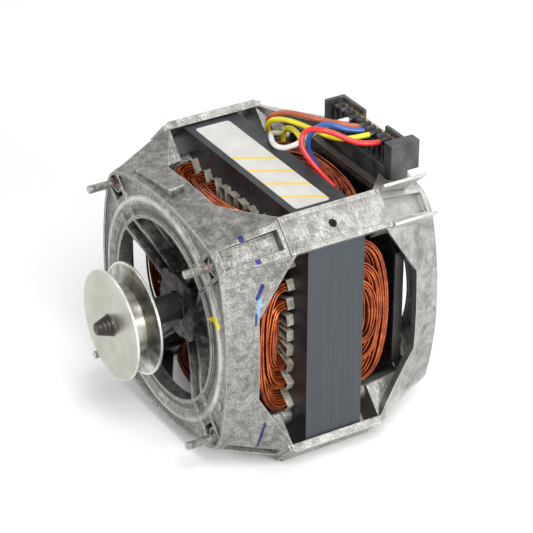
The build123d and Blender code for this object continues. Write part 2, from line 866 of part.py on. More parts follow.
# Thrust washers and the spacers between them and the rotor
front_washer = front_bearing_start + bearing_length + washer_gap
rear_washer = rear_bearing_end - bearing_length - washer_gap - washer_thick
with BuildPart() as front_thrust_washer:
    ring(front_washer, washer_thick, washer_radius, shaft_radius)
save(front_thrust_washer.part, "front_thrust_washer")

with BuildPart() as rear_thrust_washer:
    ring(rear_washer, washer_thick, washer_radius, shaft_radius)
save(rear_thrust_washer.part, "rear_thrust_washer")

with BuildPart() as front_rotor_spacer:
    spacer_front = front_washer + washer_thick
    ring(spacer_front, stack_front - spacer_front, rotor_collar_radius, shaft_radius)
save(front_rotor_spacer.part, "front_rotor_spacer")

# Governor: a plate with ears on the shaft, two pinned weights and the collar that they draw in
plate_front = stack_rear + ring_thick + plate_gap
plate_rear = plate_front + plate_thick
pivot_y = plate_rear + pivot_behind
weight_sides = ((0, 1), (180, -1))
with BuildPart() as rear_rotor_spacer:
    ring(stack_rear, plate_front - stack_rear, rotor_collar_radius, shaft_radius)
save(rear_rotor_spacer.part, "rear_rotor_spacer")

with BuildPart() as governor_plate:
    ring(plate_front, plate_thick, plate_radius, shaft_radius)
    ring(plate_rear, rear_washer - plate_rear, governor_hub_radius, shaft_radius)
    for turn, side in weight_sides:
        for ear in (weight_half + switch_gap, -weight_half - switch_gap - ear_wall):
            with BuildSketch(Plane.YZ.offset(ear)) as shape:
                with Locations((plate_rear - plate_thick / 2, side * ear_low)):
                    Rectangle(
                        ear_length + plate_thick / 2,
                        ear_high - ear_low,
                        align=(Align.MIN, Align.MIN if side > 0 else Align.MAX),
                    )
                with Locations((pivot_y, side * pivot_place)):
                    Circle(pivot_pin_radius, mode=Mode.SUBTRACT)
            extrude(shape.sketch, amount=ear_wall)
save(governor_plate.part, "governor_plate")

with BuildPart() as governor_pins:
    with BuildSketch(Plane.YZ.offset(-weight_half - switch_gap - ear_wall)):
        with Locations((pivot_y, pivot_place), (pivot_y, -pivot_place)):
            Circle(pivot_pin_radius)
    extrude(amount=2 * (weight_half + switch_gap + ear_wall))
save(governor_pins.part, "governor_pins")

for (turn, side), name in zip(weight_sides, ("governor_weight_upper", "governor_weight_lower")):
    with BuildPart() as governor_weight:
        low, high = side * weight_low, side * weight_high
        block = polygon(
            Plane.YZ,
            (pivot_y - weight_ahead, low),
            (pivot_y + weight_behind, low),
            (pivot_y + weight_behind, high),
            (pivot_y - weight_ahead, high),
        )
        extrude(block, amount=weight_half, both=True)
        finger = polygon(
            Plane.YZ,
            (pivot_y - finger_thick / 2, side * finger_low),
            (pivot_y + finger_thick / 2, side * finger_low),
            (pivot_y + finger_thick / 2, side * pivot_place),
            (pivot_y - finger_thick / 2, side * pivot_place),
        )
        extrude(finger, amount=finger_half, both=True)
        hole = discs(Plane.YZ, pivot_pin_radius + pivot_gap, (pivot_y, side * pivot_place))
        extrude(hole, amount=weight_half + overrun, both=True, mode=Mode.SUBTRACT)
    save(governor_weight.part, name)

collar_front = pivot_y - collar_ahead
collar_rear = collar_front + collar_thick
with BuildPart() as switch_collar:
    ring(collar_front, collar_thick, collar_radius, governor_hub_radius + collar_gap)
    with BuildSketch(station(pivot_y - collar_groove / 2)) as groove:
        Circle(collar_radius + overrun)
        Circle(collar_groove_radius, mode=Mode.SUBTRACT)
    extrude(groove.sketch, amount=-collar_groove, mode=Mode.SUBTRACT)
save(switch_collar.part, "switch_collar")

# Starting switch: a lever on a bracket at the rear hub, and its fixed contact
lever_front = collar_rear + switch_gap
lever_rear = lever_front + lever_thick
lever_y = (lever_front + lever_rear) / 2
with BuildPart() as switch_lever:
    blade = polygon(
        Plane.YZ,
        (lever_front, lever_low),
        (lever_rear, lever_low),
        (lever_rear, lever_high),
        (lever_front, lever_high),
    )
    extrude(blade, amount=lever_half, both=True)
    extrude(discs(Plane.YZ, lever_boss, (lever_y, lever_pivot)), amount=lever_half, both=True)
    hole = discs(Plane.YZ, pivot_pin_radius + pivot_gap, (lever_y, lever_pivot))
    extrude(hole, amount=lever_half + overrun, both=True, mode=Mode.SUBTRACT)
save(switch_lever.part, "switch_lever")

bracket_half = lever_half + switch_gap + ear_wall
with BuildPart() as switch_bracket:
    plate = polygon(
        Plane.YZ,
        (rear_hub_front - switch_plate_thick, switch_low),
        (rear_hub_front, switch_low),
        (rear_hub_front, switch_high),
        (rear_hub_front - switch_plate_thick, switch_high),
    )
    extrude(plate, amount=bracket_half, both=True)
    for ear in (lever_half + switch_gap, -bracket_half):
        with BuildSketch(Plane.YZ.offset(ear)) as shape:
            with Locations((lever_y, lever_pivot)):
                Circle(lever_boss)
            with Locations((lever_y, lever_pivot - lever_boss)):
                Rectangle(rear_hub_front - lever_y, 2 * lever_boss, align=(Align.MIN, Align.MIN))
            with Locations((lever_y, lever_pivot)):
                Circle(pivot_pin_radius, mode=Mode.SUBTRACT)
        extrude(shape.sketch, amount=ear_wall)
save(switch_bracket.part, "switch_bracket")

with BuildPart() as switch_lever_pin:
    with BuildSketch(Plane.YZ.offset(-bracket_half)):
        with Locations((lever_y, lever_pivot)):
            Circle(pivot_pin_radius)
    extrude(amount=2 * bracket_half)
save(switch_lever_pin.part, "switch_lever_pin")

with BuildPart() as switch_contact:
    contact_rear = rear_hub_front - switch_plate_thick
    extrude(discs(station(contact_rear), contact_radius, (0, contact_place)), amount=contact_thick)
save(switch_contact.part, "switch_contact")

# Air baffle behind the windings, with the bar along its top edge
with BuildPart() as air_baffle:
    extrude(cut_square(station(baffle_front), baffle_half, baffle_corner), amount=-baffle_thick)
    rim = cut_square(station(baffle_rim_front), baffle_half, baffle_corner)
    extrude(rim, amount=baffle_rim_front - baffle_front - baffle_thick / 2)
    inside = cut_square(station(baffle_rim_front - overrun), baffle_half - baffle_rim_wall, baffle_corner)
    extrude(inside, amount=baffle_rim_front - overrun - baffle_front, mode=Mode.SUBTRACT)
    hole = discs(station(baffle_front - overrun), baffle_hole_radius)
    extrude(hole, amount=-baffle_thick - 2 * overrun, mode=Mode.SUBTRACT)
    turns = [radians(a) for a in corner_angles]
    feet = [(baffle_foot_place * cos(a), baffle_foot_place * sin(a)) for a in turns]
    foot = discs(station(baffle_front + baffle_thick / 2), baffle_foot_radius, *feet)
    extrude(foot, amount=-baffle_thick / 2 - baffle_foot_length)
save(air_baffle.part, "air_baffle")

with BuildPart() as baffle_bar:
    bar_rear = baffle_front + baffle_thick
    bar = polygon(
        Plane.YZ,
        (bar_front, baffle_half),
        (bar_rear, baffle_half),
        (bar_rear, bar_rear_high),
        (bar_rear - bar_wall, bar_rear_high),
        (bar_rear - bar_wall, baffle_half + bar_wall),
        (bar_front + bar_wall, baffle_half + bar_wall),
        (bar_front + bar_wall, bar_high),
        (bar_front, bar_high),
    )
    with Locations(((bar_left + bar_right) / 2, 0, 0)):
        add(extrude(bar, amount=(bar_right - bar_left) / 2, both=True, mode=Mode.PRIVATE))
save(baffle_bar.part, "baffle_bar")

# Terminal block: a tray with a castle-shaped back wall, two ends and an apron down the front
terminal_places = [terminal_last - terminal_pitch * n for n in range(terminal_count)]


def crosswise(left, right, *points):
    """A bar across the motor, with this outline seen from the side."""
    return extrude(polygon(Plane.YZ.offset(left), *points), amount=right - left)


with BuildPart() as terminal_block:
    tray = [(block_front, block_floor - block_wall), (block_rear, block_floor - block_wall), (block_rear, block_floor)]
    crosswise(block_left, block_right, *tray, (block_front, block_floor))
    apron = [(block_front, block_low), (block_front + block_wall, block_low), (block_front + block_wall, block_floor)]
    crosswise(block_left, block_right, *apron, (block_front, block_floor))
    wall_length = (block_right - block_left) * block_wall_share
    back_wall = [(block_back, block_floor - block_wall), (block_back + block_wall, block_floor - block_wall)]
    back_wall += [(block_back + block_wall, block_top), (block_back, block_top)]
    crosswise(block_left, block_left + wall_length, *back_wall)
    crosswise(block_right - wall_length, block_right, *back_wall)
    end = [(block_front, block_low), (block_low_rear, block_low), (block_low_rear, block_floor - block_wall)]
    end += [(block_rear, block_floor - block_wall), (block_rear, block_top), (block_front, block_top)]
    crosswise(block_right - block_end_width, block_right, *end)
    left_end = [(block_front, block_floor - block_wall), (block_back, block_floor - block_wall)]
    crosswise(block_left, block_left + block_wall, *left_end, (block_back, block_top), (block_front, block_top))
    post = [(barrel_front, block_floor - block_wall), (block_back, block_floor - block_wall)]
    post += [(block_back, terminal_high - barrel_radius), (barrel_front, terminal_high - barrel_radius)]
    for place in terminal_places:
        crosswise(place - terminal_post / 2, place + terminal_post / 2, *post)
save(terminal_block.part, "terminal_block")

# Terminals: a crimp barrel round each lead's end and a flat tab behind it
with BuildPart() as terminals:
    with BuildSketch(station(barrel_front)):
        with Locations(*[(place, terminal_high) for place in terminal_places]):
            Circle(barrel_radius)
    extrude(amount=-barrel_length)
    with BuildSketch(station(barrel_front + barrel_length / 2)):
        with Locations(*[(place, terminal_high) for place in terminal_places]):
            Rectangle(tab_width, tab_thick)
    extrude(amount=-(block_back - barrel_front - barrel_length / 2 - block_gap))
save(terminals.part, "terminals")


def lead_tube(route):
    """One lead along its route, rounded at every bend; prints its length and least bend radius."""
    points = [Vector(*point) for point in route]
    runs = [(end - start).length for start, end in zip(points, points[1:])]
    radii = []
    for before, corner, after in zip(points, points[1:], points[2:]):
        turn = radians((corner - before).get_angle(after - corner))
        shorter = min((corner - before).length, (after - corner).length)
        radii.append(lead_fillet_share * shorter / tan(turn / 2))
    with BuildLine() as path:
        FilletPolyline(*points, radius=radii)
    line = path.wire()
    print("length", round(line.length, 1), "least bend radius", round(min(radii), 1))
    print("shortest and longest run", round(min(runs), 1), round(max(runs), 1))
    with BuildSketch(Plane(origin=line @ 0, z_dir=line % 0)) as section:
        Circle(lead_radius)
    sweep(section.sketch, path=line)
    return line.length


for name, route in lead_routes.items():
    end = (terminal_places[lead_terminals[name]], barrel_front - lead_grip, terminal_high)
    with BuildPart() as lead:
        length = lead_tube([*route, end])
    print(name, "volume over section times length", lead.part.volume / (length * pi * lead_radius**2))
    save(lead.part, name)

with BuildPart() as lead_yellow_short:
    lead_tube(short_lead_route)
save(lead_yellow_short.part, "lead_yellow_short")

# Overload protector on the left rear end turns
with BuildPart() as overload_protector:
    with BuildSketch(Plane.YZ.offset(-protector_place)):
        with Locations((protector_start + protector_width / 2, 0)):
            RectangleRounded(protector_width, protector_length, protector_round)
    extrude(amount=-protector_thick)
save(overload_protector.part, "overload_protector")

# Label on the top of the stack
with BuildPart() as motor_label:
    with BuildSketch(Plane.XY.offset(stack_half)):
        with Locations((0, label_front + label_width / 2)):
            RectangleRounded(label_length, label_width, label_corner)
    extrude(amount=label_thick)
save(motor_label.part, "motor_label")
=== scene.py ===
import math
import random

import bpy
from mathutils import Matrix, Vector


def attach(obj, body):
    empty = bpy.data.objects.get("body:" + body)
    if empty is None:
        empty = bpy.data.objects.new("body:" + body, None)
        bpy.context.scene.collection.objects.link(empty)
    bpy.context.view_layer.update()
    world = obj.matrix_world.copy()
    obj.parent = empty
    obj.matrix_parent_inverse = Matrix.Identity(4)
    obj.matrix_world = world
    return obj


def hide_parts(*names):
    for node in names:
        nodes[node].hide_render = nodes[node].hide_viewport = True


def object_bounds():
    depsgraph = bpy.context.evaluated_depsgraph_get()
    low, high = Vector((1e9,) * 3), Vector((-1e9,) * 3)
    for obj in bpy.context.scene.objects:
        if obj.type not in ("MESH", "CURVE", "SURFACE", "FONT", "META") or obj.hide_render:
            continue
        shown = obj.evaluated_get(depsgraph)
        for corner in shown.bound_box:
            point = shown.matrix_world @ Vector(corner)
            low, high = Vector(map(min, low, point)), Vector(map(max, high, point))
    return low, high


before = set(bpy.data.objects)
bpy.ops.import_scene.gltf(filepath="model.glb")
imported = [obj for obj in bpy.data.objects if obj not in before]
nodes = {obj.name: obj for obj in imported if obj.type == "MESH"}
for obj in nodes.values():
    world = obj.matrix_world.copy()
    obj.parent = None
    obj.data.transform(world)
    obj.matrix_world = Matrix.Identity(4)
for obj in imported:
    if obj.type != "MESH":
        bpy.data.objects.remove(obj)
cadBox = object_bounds()
mm = 0.001  # places and sizes in the dictionaries are in millimetres


def metres(place):
    return tuple(v * mm for v in place)


# camera, lamps and floor

cameraSetup = {
    "target": (0, 63, 0),
    "azimuth": 58.80,
    "elevation": 30.274,
    "roll": 0.286,
    "distance": 1325.257,
    "side": 1.085,
    "rise": 6.537,
    "lens": 165.0,
    "sensor": 36,
}


def addCamera(setup):
    azimuth = math.radians(setup["azimuth"])
    elevation = math.radians(setup["elevation"])
    roll = math.radians(setup["roll"])
    away = Vector((
        math.sin(azimuth) * math.cos(elevation),
        -math.cos(azimuth) * math.cos(elevation),
        math.sin(elevation),
    ))
    right = Vector((math.cos(azimuth), math.sin(azimuth), 0))
    up = away.cross(right)
    rightTurned = right * math.cos(roll) + up * math.sin(roll)
    upTurned = up * math.cos(roll) - right * math.sin(roll)
    place = Vector(metres(setup["target"])) + away * setup["distance"] * mm
    place += (rightTurned * setup["side"] + upTurned * setup["rise"]) * mm
    data = bpy.data.cameras.new("camera")
    data.lens = setup["lens"]
    data.sensor_width = setup["sensor"]
    camera = bpy.data.objects.new("camera", data)
    turn = Matrix((rightTurned, upTurned, away)).transposed().to_4x4()
    camera.matrix_world = Matrix.Translation(place) @ turn
    bpy.context.collection.objects.link(camera)
    bpy.context.scene.camera = camera


lampSetup = {  # in metres and watts
    "aim": (0, 0.05, 0),
    "lamps": {
        "key": {"place": (0.95, -0.25, 1.25), "size": 0.7, "power": 13.5},
        "side": {"place": (1.5, 0.2, 0.55), "size": 0.6, "power": 13},
        "left": {"place": (-0.7, -1.3, 0.7), "size": 0.4, "power": 6},
        "back": {"place": (-0.3, 1.2, 0.9), "size": 0.8, "power": 5},
    },
}


def addLamps(setup):
    for name, lamp in setup["lamps"].items():
        data = bpy.data.lights.new(name, "AREA")
        data.shape = "DISK"
        data.size = lamp["size"]
        data.energy = lamp["power"]
        light = bpy.data.objects.new(name, data)
        light.location = lamp["place"]
        aim = Vector(setup["aim"]) - Vector(lamp["place"])
        light.rotation_euler = aim.to_track_quat("-Z", "Y").to_euler()
        bpy.context.collection.objects.link(light)


worldSetup = {
    "backdrop": {"color": (1, 1, 1), "strength": 1.0},
    "room": {"color": (0.97, 0.98, 1.0), "strength": 0.42},
}


def addBackground(tree, color, strength):
    node = tree.nodes.new("ShaderNodeBackground")
    node.inputs["Color"].default_value = (*color, 1)
    node.inputs["Strength"].default_value = strength
    return node.outputs[0]


def addWorld(setup):
    # white where the camera or a mirror looks, a dimmer room as light
    world = bpy.data.worlds.new("studio")
    bpy.context.scene.world = world
    world.use_nodes = True
    tree = world.node_tree
    tree.nodes.clear()
    out = tree.nodes.new("ShaderNodeOutputWorld")
    path = tree.nodes.new("ShaderNodeLightPath")
    mix = tree.nodes.new("ShaderNodeMixShader")
    seen = path.outputs["Is Camera Ray"]
    for label in ("Is Glossy Ray", "Is Transmission Ray"):
        either = tree.nodes.new("ShaderNodeMath")
        either.operation = "MAXIMUM"
        tree.links.new(seen, either.inputs[0])
        tree.links.new(path.outputs[label], either.inputs[1])
        seen = either.outputs[0]
    tree.links.new(seen, mix.inputs[0])
    tree.links.new(addBackground(tree, **setup["room"]), mix.inputs[1])
    tree.links.new(addBackground(tree, **setup["backdrop"]), mix.inputs[2])
    tree.links.new(mix.outputs[0], out.inputs["Surface"])


floorSetup = {
    "size": 30000,
    "gap": 0.2,
    "color": (0.93, 0.93, 0.93),
    "roughness": 0.7,
    "glow": (1, 1, 1),
    "glowStrength": 0.12,
}


def addFloor(setup):
    bpy.ops.object.select_all(action="DESELECT")
    level = cadBox[0][2] - setup["gap"] * mm
    bpy.ops.mesh.primitive_plane_add(size=setup["size"] * mm, location=(0, 0, level))
    floor = bpy.context.object
    floor.name = "floor"
    material = bpy.data.materials.new("paleFloor")
    material.use_nodes = True
    shader = material.node_tree.nodes["Principled BSDF"]
    shader.inputs["Base Color"].default_value = (*setup["color"], 1)
    shader.inputs["Roughness"].default_value = setup["roughness"]
    shader.inputs["Emission Color"].default_value = (*setup["glow"], 1)
    shader.inputs["Emission Strength"].default_value = setup["glowStrength"]
    floor.data.materials.append(material)


addCamera(cameraSetup)
addLamps(lampSetup)
addWorld(worldSetup)
addFloor(floorSetup)
bpy.context.scene.view_settings.view_transform = "Standard"
print("camera, lamps and floor are in")


# node groups that the materials share

def newGroup(name, inputs, outputs):
    group = bpy.data.node_groups.new(name, "ShaderNodeTree")
    for label, kind, value in inputs:
        socket = group.interface.new_socket(label, in_out="INPUT", socket_type=kind)
        if value is not None:
            socket.default_value = value
    for label, kind in outputs:
        group.interface.new_socket(label, in_out="OUTPUT", socket_type=kind)
    return group, group.nodes.new("NodeGroupInput"), group.nodes.new("NodeGroupOutput")


def addNoise(tree, vector, scale, detail=4.0, rough=0.6):
    noise = tree.nodes.new("ShaderNodeTexNoise")
    noise.inputs["Detail"].default_value = detail
    noise.inputs["Roughness"].default_value = rough
    if isinstance(scale, (int, float)):
        noise.inputs["Scale"].default_value = scale
    else:
        tree.links.new(scale, noise.inputs["Scale"])
    tree.links.new(vector, noise.inputs["Vector"])
    return noise.outputs["Fac"]


def addMath(tree, kind, a, b=None, c=None, clamp=False):
    node = tree.nodes.new("ShaderNodeMath")
    node.operation = kind
    node.use_clamp = clamp
    for slot, value in zip(node.inputs, (a, b, c)):
        if value is None:
            continue
        if isinstance(value, (int, float)):
            slot.default_value = value
        else:
            tree.links.new(value, slot)
    return node.outputs[0]


def addRamp(tree, value, low, high, toLow=0.0, toHigh=1.0):
    node = tree.nodes.new("ShaderNodeMapRange")
    node.interpolation_type = "SMOOTHSTEP"
    limits = {"From Min": low, "From Max": high, "To Min": toLow, "To Max": toHigh}
    for slot, number in limits.items():
        node.inputs[slot].default_value = number
    tree.links.new(value, node.inputs["Value"])
    return node.outputs["Result"]


def addMix(tree, factor, a, b):
    node = tree.nodes.new("ShaderNodeMix")
    node.data_type = "RGBA"
    for slot, value in ((node.inputs[0], factor), (node.inputs[6], a), (node.inputs[7], b)):
        if isinstance(value, (int, float)):
            slot.default_value = value
        elif isinstance(value, tuple):
            slot.default_value = (*value, 1)
        else:
            tree.links.new(value, slot)
    return node.outputs[2]


mottleSetup = {
    "patchNoise": (5.0, 0.65),
    "patchSpan": (0.36, 0.66),
    "speckNoise": (3.0, 0.7),
    "speckSpan": (0.42, 0.72),
    "patchHeight": 0.6,
}


def makeMottleGroup(setup):
    # large soft patches and fine specks of a worn surface
    group, start, end = newGroup(
        "mottle",
        [
            ("Vector", "NodeSocketVector", None),
            ("Patch Scale", "NodeSocketFloat", 90.0),
            ("Speck Scale", "NodeSocketFloat", 900.0),
        ],
        [
            ("Patches", "NodeSocketFloat"),
            ("Specks", "NodeSocketFloat"),
            ("Height", "NodeSocketFloat"),
        ],
    )
    vector = start.outputs["Vector"]
    patches = addNoise(group, vector, start.outputs["Patch Scale"], *setup["patchNoise"])
    specks = addNoise(group, vector, start.outputs["Speck Scale"], *setup["speckNoise"])
    height = addMath(group, "MULTIPLY_ADD", patches, setup["patchHeight"], specks)
    group.links.new(addRamp(group, patches, *setup["patchSpan"]), end.inputs["Patches"])
    group.links.new(addRamp(group, specks, *setup["speckSpan"]), end.inputs["Specks"])
    group.links.new(height, end.inputs["Height"])
    return group


edgeSetup = {"samples": 4, "span": (0.995, 0.86)}


def makeEdgeGroup(setup):
    # rounds the look of sharp edges and gives a mask of where they are
    group, start, end = newGroup(
        "roundedEdge",
        [("Radius", "NodeSocketFloat", 0.6 * mm)],
        [("Normal", "NodeSocketVector"), ("Edge", "NodeSocketFloat")],
    )
    bevel = group.nodes.new("ShaderNodeBevel")
    bevel.samples = setup["samples"]
    group.links.new(start.outputs["Radius"], bevel.inputs["Radius"])
    geometry = group.nodes.new("ShaderNodeNewGeometry")
    dot = group.nodes.new("ShaderNodeVectorMath")
    dot.operation = "DOT_PRODUCT"
    group.links.new(bevel.outputs["Normal"], dot.inputs[0])
    group.links.new(geometry.outputs["True Normal"], dot.inputs[1])
    group.links.new(bevel.outputs["Normal"], end.inputs["Normal"])
    group.links.new(addRamp(group, dot.outputs["Value"], *setup["span"]), end.inputs["Edge"])
    return group


def makeAxisGroup():
    # distance from the shaft axis, and the separate coordinates
    group, start, end = newGroup(
        "shaftPlace",
        [("Vector", "NodeSocketVector", None)],
        [(label, "NodeSocketFloat") for label in ("X", "Y", "Z", "Radius")],
    )
    split = group.nodes.new("ShaderNodeSeparateXYZ")
    group.links.new(start.outputs["Vector"], split.inputs[0])
    x, z = split.outputs["X"], split.outputs["Z"]
    square = addMath(group, "MULTIPLY_ADD", z, z, addMath(group, "MULTIPLY", x, x))
    for label in ("X", "Y", "Z"):
        group.links.new(split.outputs[label], end.inputs[label])
    group.links.new(addMath(group, "SQRT", square), end.inputs["Radius"])
    return group


strokeSetup = {"noise": 700.0, "ragged": 1.4, "allowance": 0.7}


def makeStrokeGroup(setup):
    # mask of a hand-drawn stroke between two points
    group, start, end = newGroup(
        "paintStroke",
        [
            ("Vector", "NodeSocketVector", None),
            ("Start", "NodeSocketVector", None),
            ("End", "NodeSocketVector", None),
            ("Half Width", "NodeSocketFloat", 1.5 * mm),
        ],
        [("Mask", "NodeSocketFloat")],
    )

    def vectorMath(kind, a, b):
        node = group.nodes.new("ShaderNodeVectorMath")
        node.operation = kind
        group.links.new(a, node.inputs[0])
        group.links.new(b, node.inputs["Scale" if kind == "SCALE" else 1])
        single = kind in ("DOT_PRODUCT", "DISTANCE")
        return node.outputs["Value" if single else "Vector"]

    vector, first = start.outputs["Vector"], start.outputs["Start"]
    run = vectorMath("SUBTRACT", start.outputs["End"], first)
    toPoint = vectorMath("SUBTRACT", vector, first)
    along, whole = vectorMath("DOT_PRODUCT", toPoint, run), vectorMath("DOT_PRODUCT", run, run)
    nearest = vectorMath("SCALE", run, addMath(group, "DIVIDE", along, whole, clamp=True))
    gap = vectorMath("DISTANCE", toPoint, nearest)
    noise = addNoise(group, vector, setup["noise"])
    ragged = addMath(group, "MULTIPLY_ADD", noise, setup["ragged"] * mm, gap)
    limit = addMath(group, "ADD", start.outputs["Half Width"], setup["allowance"] * mm)
    group.links.new(addMath(group, "LESS_THAN", ragged, limit), end.inputs["Mask"])
    return group


groups = {
    "mottle": makeMottleGroup(mottleSetup),
    "edge": makeEdgeGroup(edgeSetup),
    "place": makeAxisGroup(),
    "stroke": makeStrokeGroup(strokeSetup),
}
print("node groups are in")


# materials

lookSetup = {"coatRoughness": 0.2, "creviceSamples": 6}


class Look:
    # one material being put together, with the masks that most of them use

    def __init__(self, name, patch=90.0, speck=900.0, edge=0.6):
        self.material = bpy.data.materials.new(name)
        self.material.use_nodes = True
        self.tree = self.material.node_tree
        self.shader = self.tree.nodes["Principled BSDF"]
        coordinates = self.tree.nodes.new("ShaderNodeTexCoord")
        self.coords, self.normal = coordinates.outputs["Object"], coordinates.outputs["Normal"]
        mottle = self.group("mottle", self.coords)
        mottle.inputs["Patch Scale"].default_value = patch
        mottle.inputs["Speck Scale"].default_value = speck
        self.patches, self.specks, self.height = mottle.outputs
        self.x, self.y, self.z, self.radius = self.group("place", self.coords).outputs
        edges = self.group("edge")
        edges.inputs["Radius"].default_value = edge * mm
        self.rounded, self.edges = edges.outputs

    def group(self, name, vector=None):
        node = self.tree.nodes.new("ShaderNodeGroup")
        node.node_tree = groups[name]
        if vector is not None:
            self.tree.links.new(vector, node.inputs["Vector"])
        return node

    def mix(self, factor, a, b):
        return addMix(self.tree, factor, a, b)

    def ramp(self, value, low, high, toLow=0.0, toHigh=1.0):
        return addRamp(self.tree, value, low, high, toLow, toHigh)

    def calc(self, kind, a, b=None, c=None):
        return addMath(self.tree, kind, a, b, c)

    def noise(self, scale, detail=4.0, rough=0.6):
        return addNoise(self.tree, self.coords, scale, detail, rough)

    def spots(self, noise, span):
        return self.ramp(self.noise(*noise), *span)

    def streaks(self, stretch, noise, span):
        mapping = self.tree.nodes.new("ShaderNodeMapping")
        mapping.inputs["Scale"].default_value = stretch
        self.tree.links.new(self.coords, mapping.inputs["Vector"])
        return self.ramp(addNoise(self.tree, mapping.outputs[0], *noise), *span)

    def ripple(self, value, pitch):
        return self.calc("SINE", self.calc("MULTIPLY", value, 2 * math.pi / (pitch * mm)))

    def gap(self, value, middle):
        return self.calc("ABSOLUTE", self.calc("SUBTRACT", value, middle * mm))

    def stroke(self, start, end, halfWidth):
        node = self.group("stroke", self.coords)
        node.inputs["Start"].default_value = metres(start)
        node.inputs["End"].default_value = metres(end)
        node.inputs["Half Width"].default_value = halfWidth * mm
        return node.outputs["Mask"]

    def lookToMiddle(self, middle):
        # more than zero where a face looks along the shaft to the middle plane
        split = self.tree.nodes.new("ShaderNodeSeparateXYZ")
        self.tree.links.new(self.normal, split.inputs[0])
        return self.calc("MULTIPLY", split.outputs["Y"], self.calc("SUBTRACT", middle * mm, self.y))

    def lookFromShaft(self):
        # less than zero where a face looks towards the shaft
        across = self.tree.nodes.new("ShaderNodeVectorMath")
        across.operation = "MULTIPLY"
        across.inputs[1].default_value = (1, 0, 1)
        along = self.tree.nodes.new("ShaderNodeVectorMath")
        along.operation = "DOT_PRODUCT"
        self.tree.links.new(self.coords, across.inputs[0])
        self.tree.links.new(across.outputs["Vector"], along.inputs[0])
        self.tree.links.new(self.normal, along.inputs[1])
        return along.outputs["Value"]

    # an occlusion mask, used to paint shade into crevices
    def crevice(self, distance, free, hidden, most):
        shade = self.tree.nodes.new("ShaderNodeAmbientOcclusion")
        shade.samples = lookSetup["creviceSamples"]
        shade.inputs["Distance"].default_value = distance * mm
        return self.ramp(shade.outputs["AO"], free, hidden, 0.0, most)

    def finish(self, color, roughness, metallic=0.0, bump=0.3, height=None, depth=0.2, coat=0.0):
        sockets = self.shader.inputs
        linked = {"Base Color": color, "Roughness": roughness, "Metallic": metallic}
        for label, value in linked.items():
            if isinstance(value, (int, float)):
                sockets[label].default_value = value
            else:
                self.tree.links.new(value, sockets[label])
        sockets["Coat Weight"].default_value = coat
        sockets["Coat Roughness"].default_value = lookSetup["coatRoughness"]
        node = self.tree.nodes.new("ShaderNodeBump")
        node.inputs["Strength"].default_value = bump
        node.inputs["Distance"].default_value = depth * mm
        self.tree.links.new(self.height if height is None else height, node.inputs["Height"])
        self.tree.links.new(self.rounded, node.inputs["Normal"])
        self.tree.links.new(node.outputs["Normal"], sockets["Normal"])
        return self.material


castColors = {
    "light": (0.46, 0.455, 0.43),
    "dull": (0.13, 0.126, 0.113),
    "speck": (0.07, 0.066, 0.058),
    # grime is also the colour of the painted shade in the valley ring and in crevices
    "grime": (0.095, 0.09, 0.075),
    "oily": (0.009, 0.008, 0.007),
    "wiped": (0.17, 0.16, 0.14),
    "inner": (0.045, 0.040, 0.034),
    # edge is the colour of painted highlights on edges, crest and rear corners, and of the cleaner
    # arms
    "edge": (0.72, 0.71, 0.68),
    "bluePaint": (0.012, 0.016, 0.16),
    "skyPaint": (0.20, 0.42, 0.72),
    "yellowPaint": (0.86, 0.74, 0.02),
    "holeShade": (0.01, 0.01, 0.01),
    "glue": (0.60, 0.56, 0.33),
}
castSetup = {
    "patch": 150.0,
    "speck": 1100.0,
    "edge": 0.8,
    # noise (scale, detail, roughness), and the span that is read from it
    "cloud": ((28.0, 5.0, 0.7), (0.34, 0.68)),
    "grain": ((260.0, 3.0), (0.40, 0.60)),
    "smear": ((16.0, 6.0, 0.75), (0.52, 0.70, 0.0, 0.65)),
    # painted highlight along the crest ring, broken up by noise
    "crestHighlight": ((30.0, 3.0), (0.35, 0.65, 0.25, 1.0)),
    "splash": ((30.0,), (0.60, 0.78, 0.0, 0.5)),
    "stain": (45.0, 6.0),
    "pits": (420.0, 3.0),
    "patchShare": 0.3,
    "cloudShare": 0.35,
    "grainShare": 0.35,
    "speckShare": 0.7,
    # the outer faces, by their distance from the middle plane
    "middle": 65.0,
    "face": (61.5, 63.5),
    # rings on those faces: radius and half width; painted shade in the valley ring, painted
    # highlight on the crest ring
    "valley": (54.2, 2.6),
    "valleyShare": 0.8,
    "crest": (61.0, 2.4),
    # painted shade in crevices, read from occlusion
    "crevice": (7.0, 0.85, 0.35),
    # the arms and the rear shield are cleaner
    "clean": (30.0, 50.0),
    "cleanShare": 0.32,
    "cleanPatches": (0.5, 1.0),
    # painted shade on walls that look inwards
    "wallTurn": (-1.288, -19.32),
    "wallSide": (6.0, 15.0),
    "wallRadius": (40.0, 55.0),
    "wallEnds": (7.5, 122.5),
    "wallShare": 0.85,
    # painted highlight on the corners of the rear shield
    "corner": (48.0, 54.0),
    "cornerFront": (94.0, 98.0),
    "edgeShare": 0.9,
    # oil around the hub
    "stainSpread": 30.0,
    "oilFade": (14.0, -8.0),
    "markShare": 0.9,
    "roughness": (0.34, 0.42),
    "speckRoughness": 0.16,
    "crestRoughness": -0.12,
    "metal": (0.8, 0.1),
    "pitHeight": 1.4,
    "bump": 0.7,
    "depth": 0.5,
}
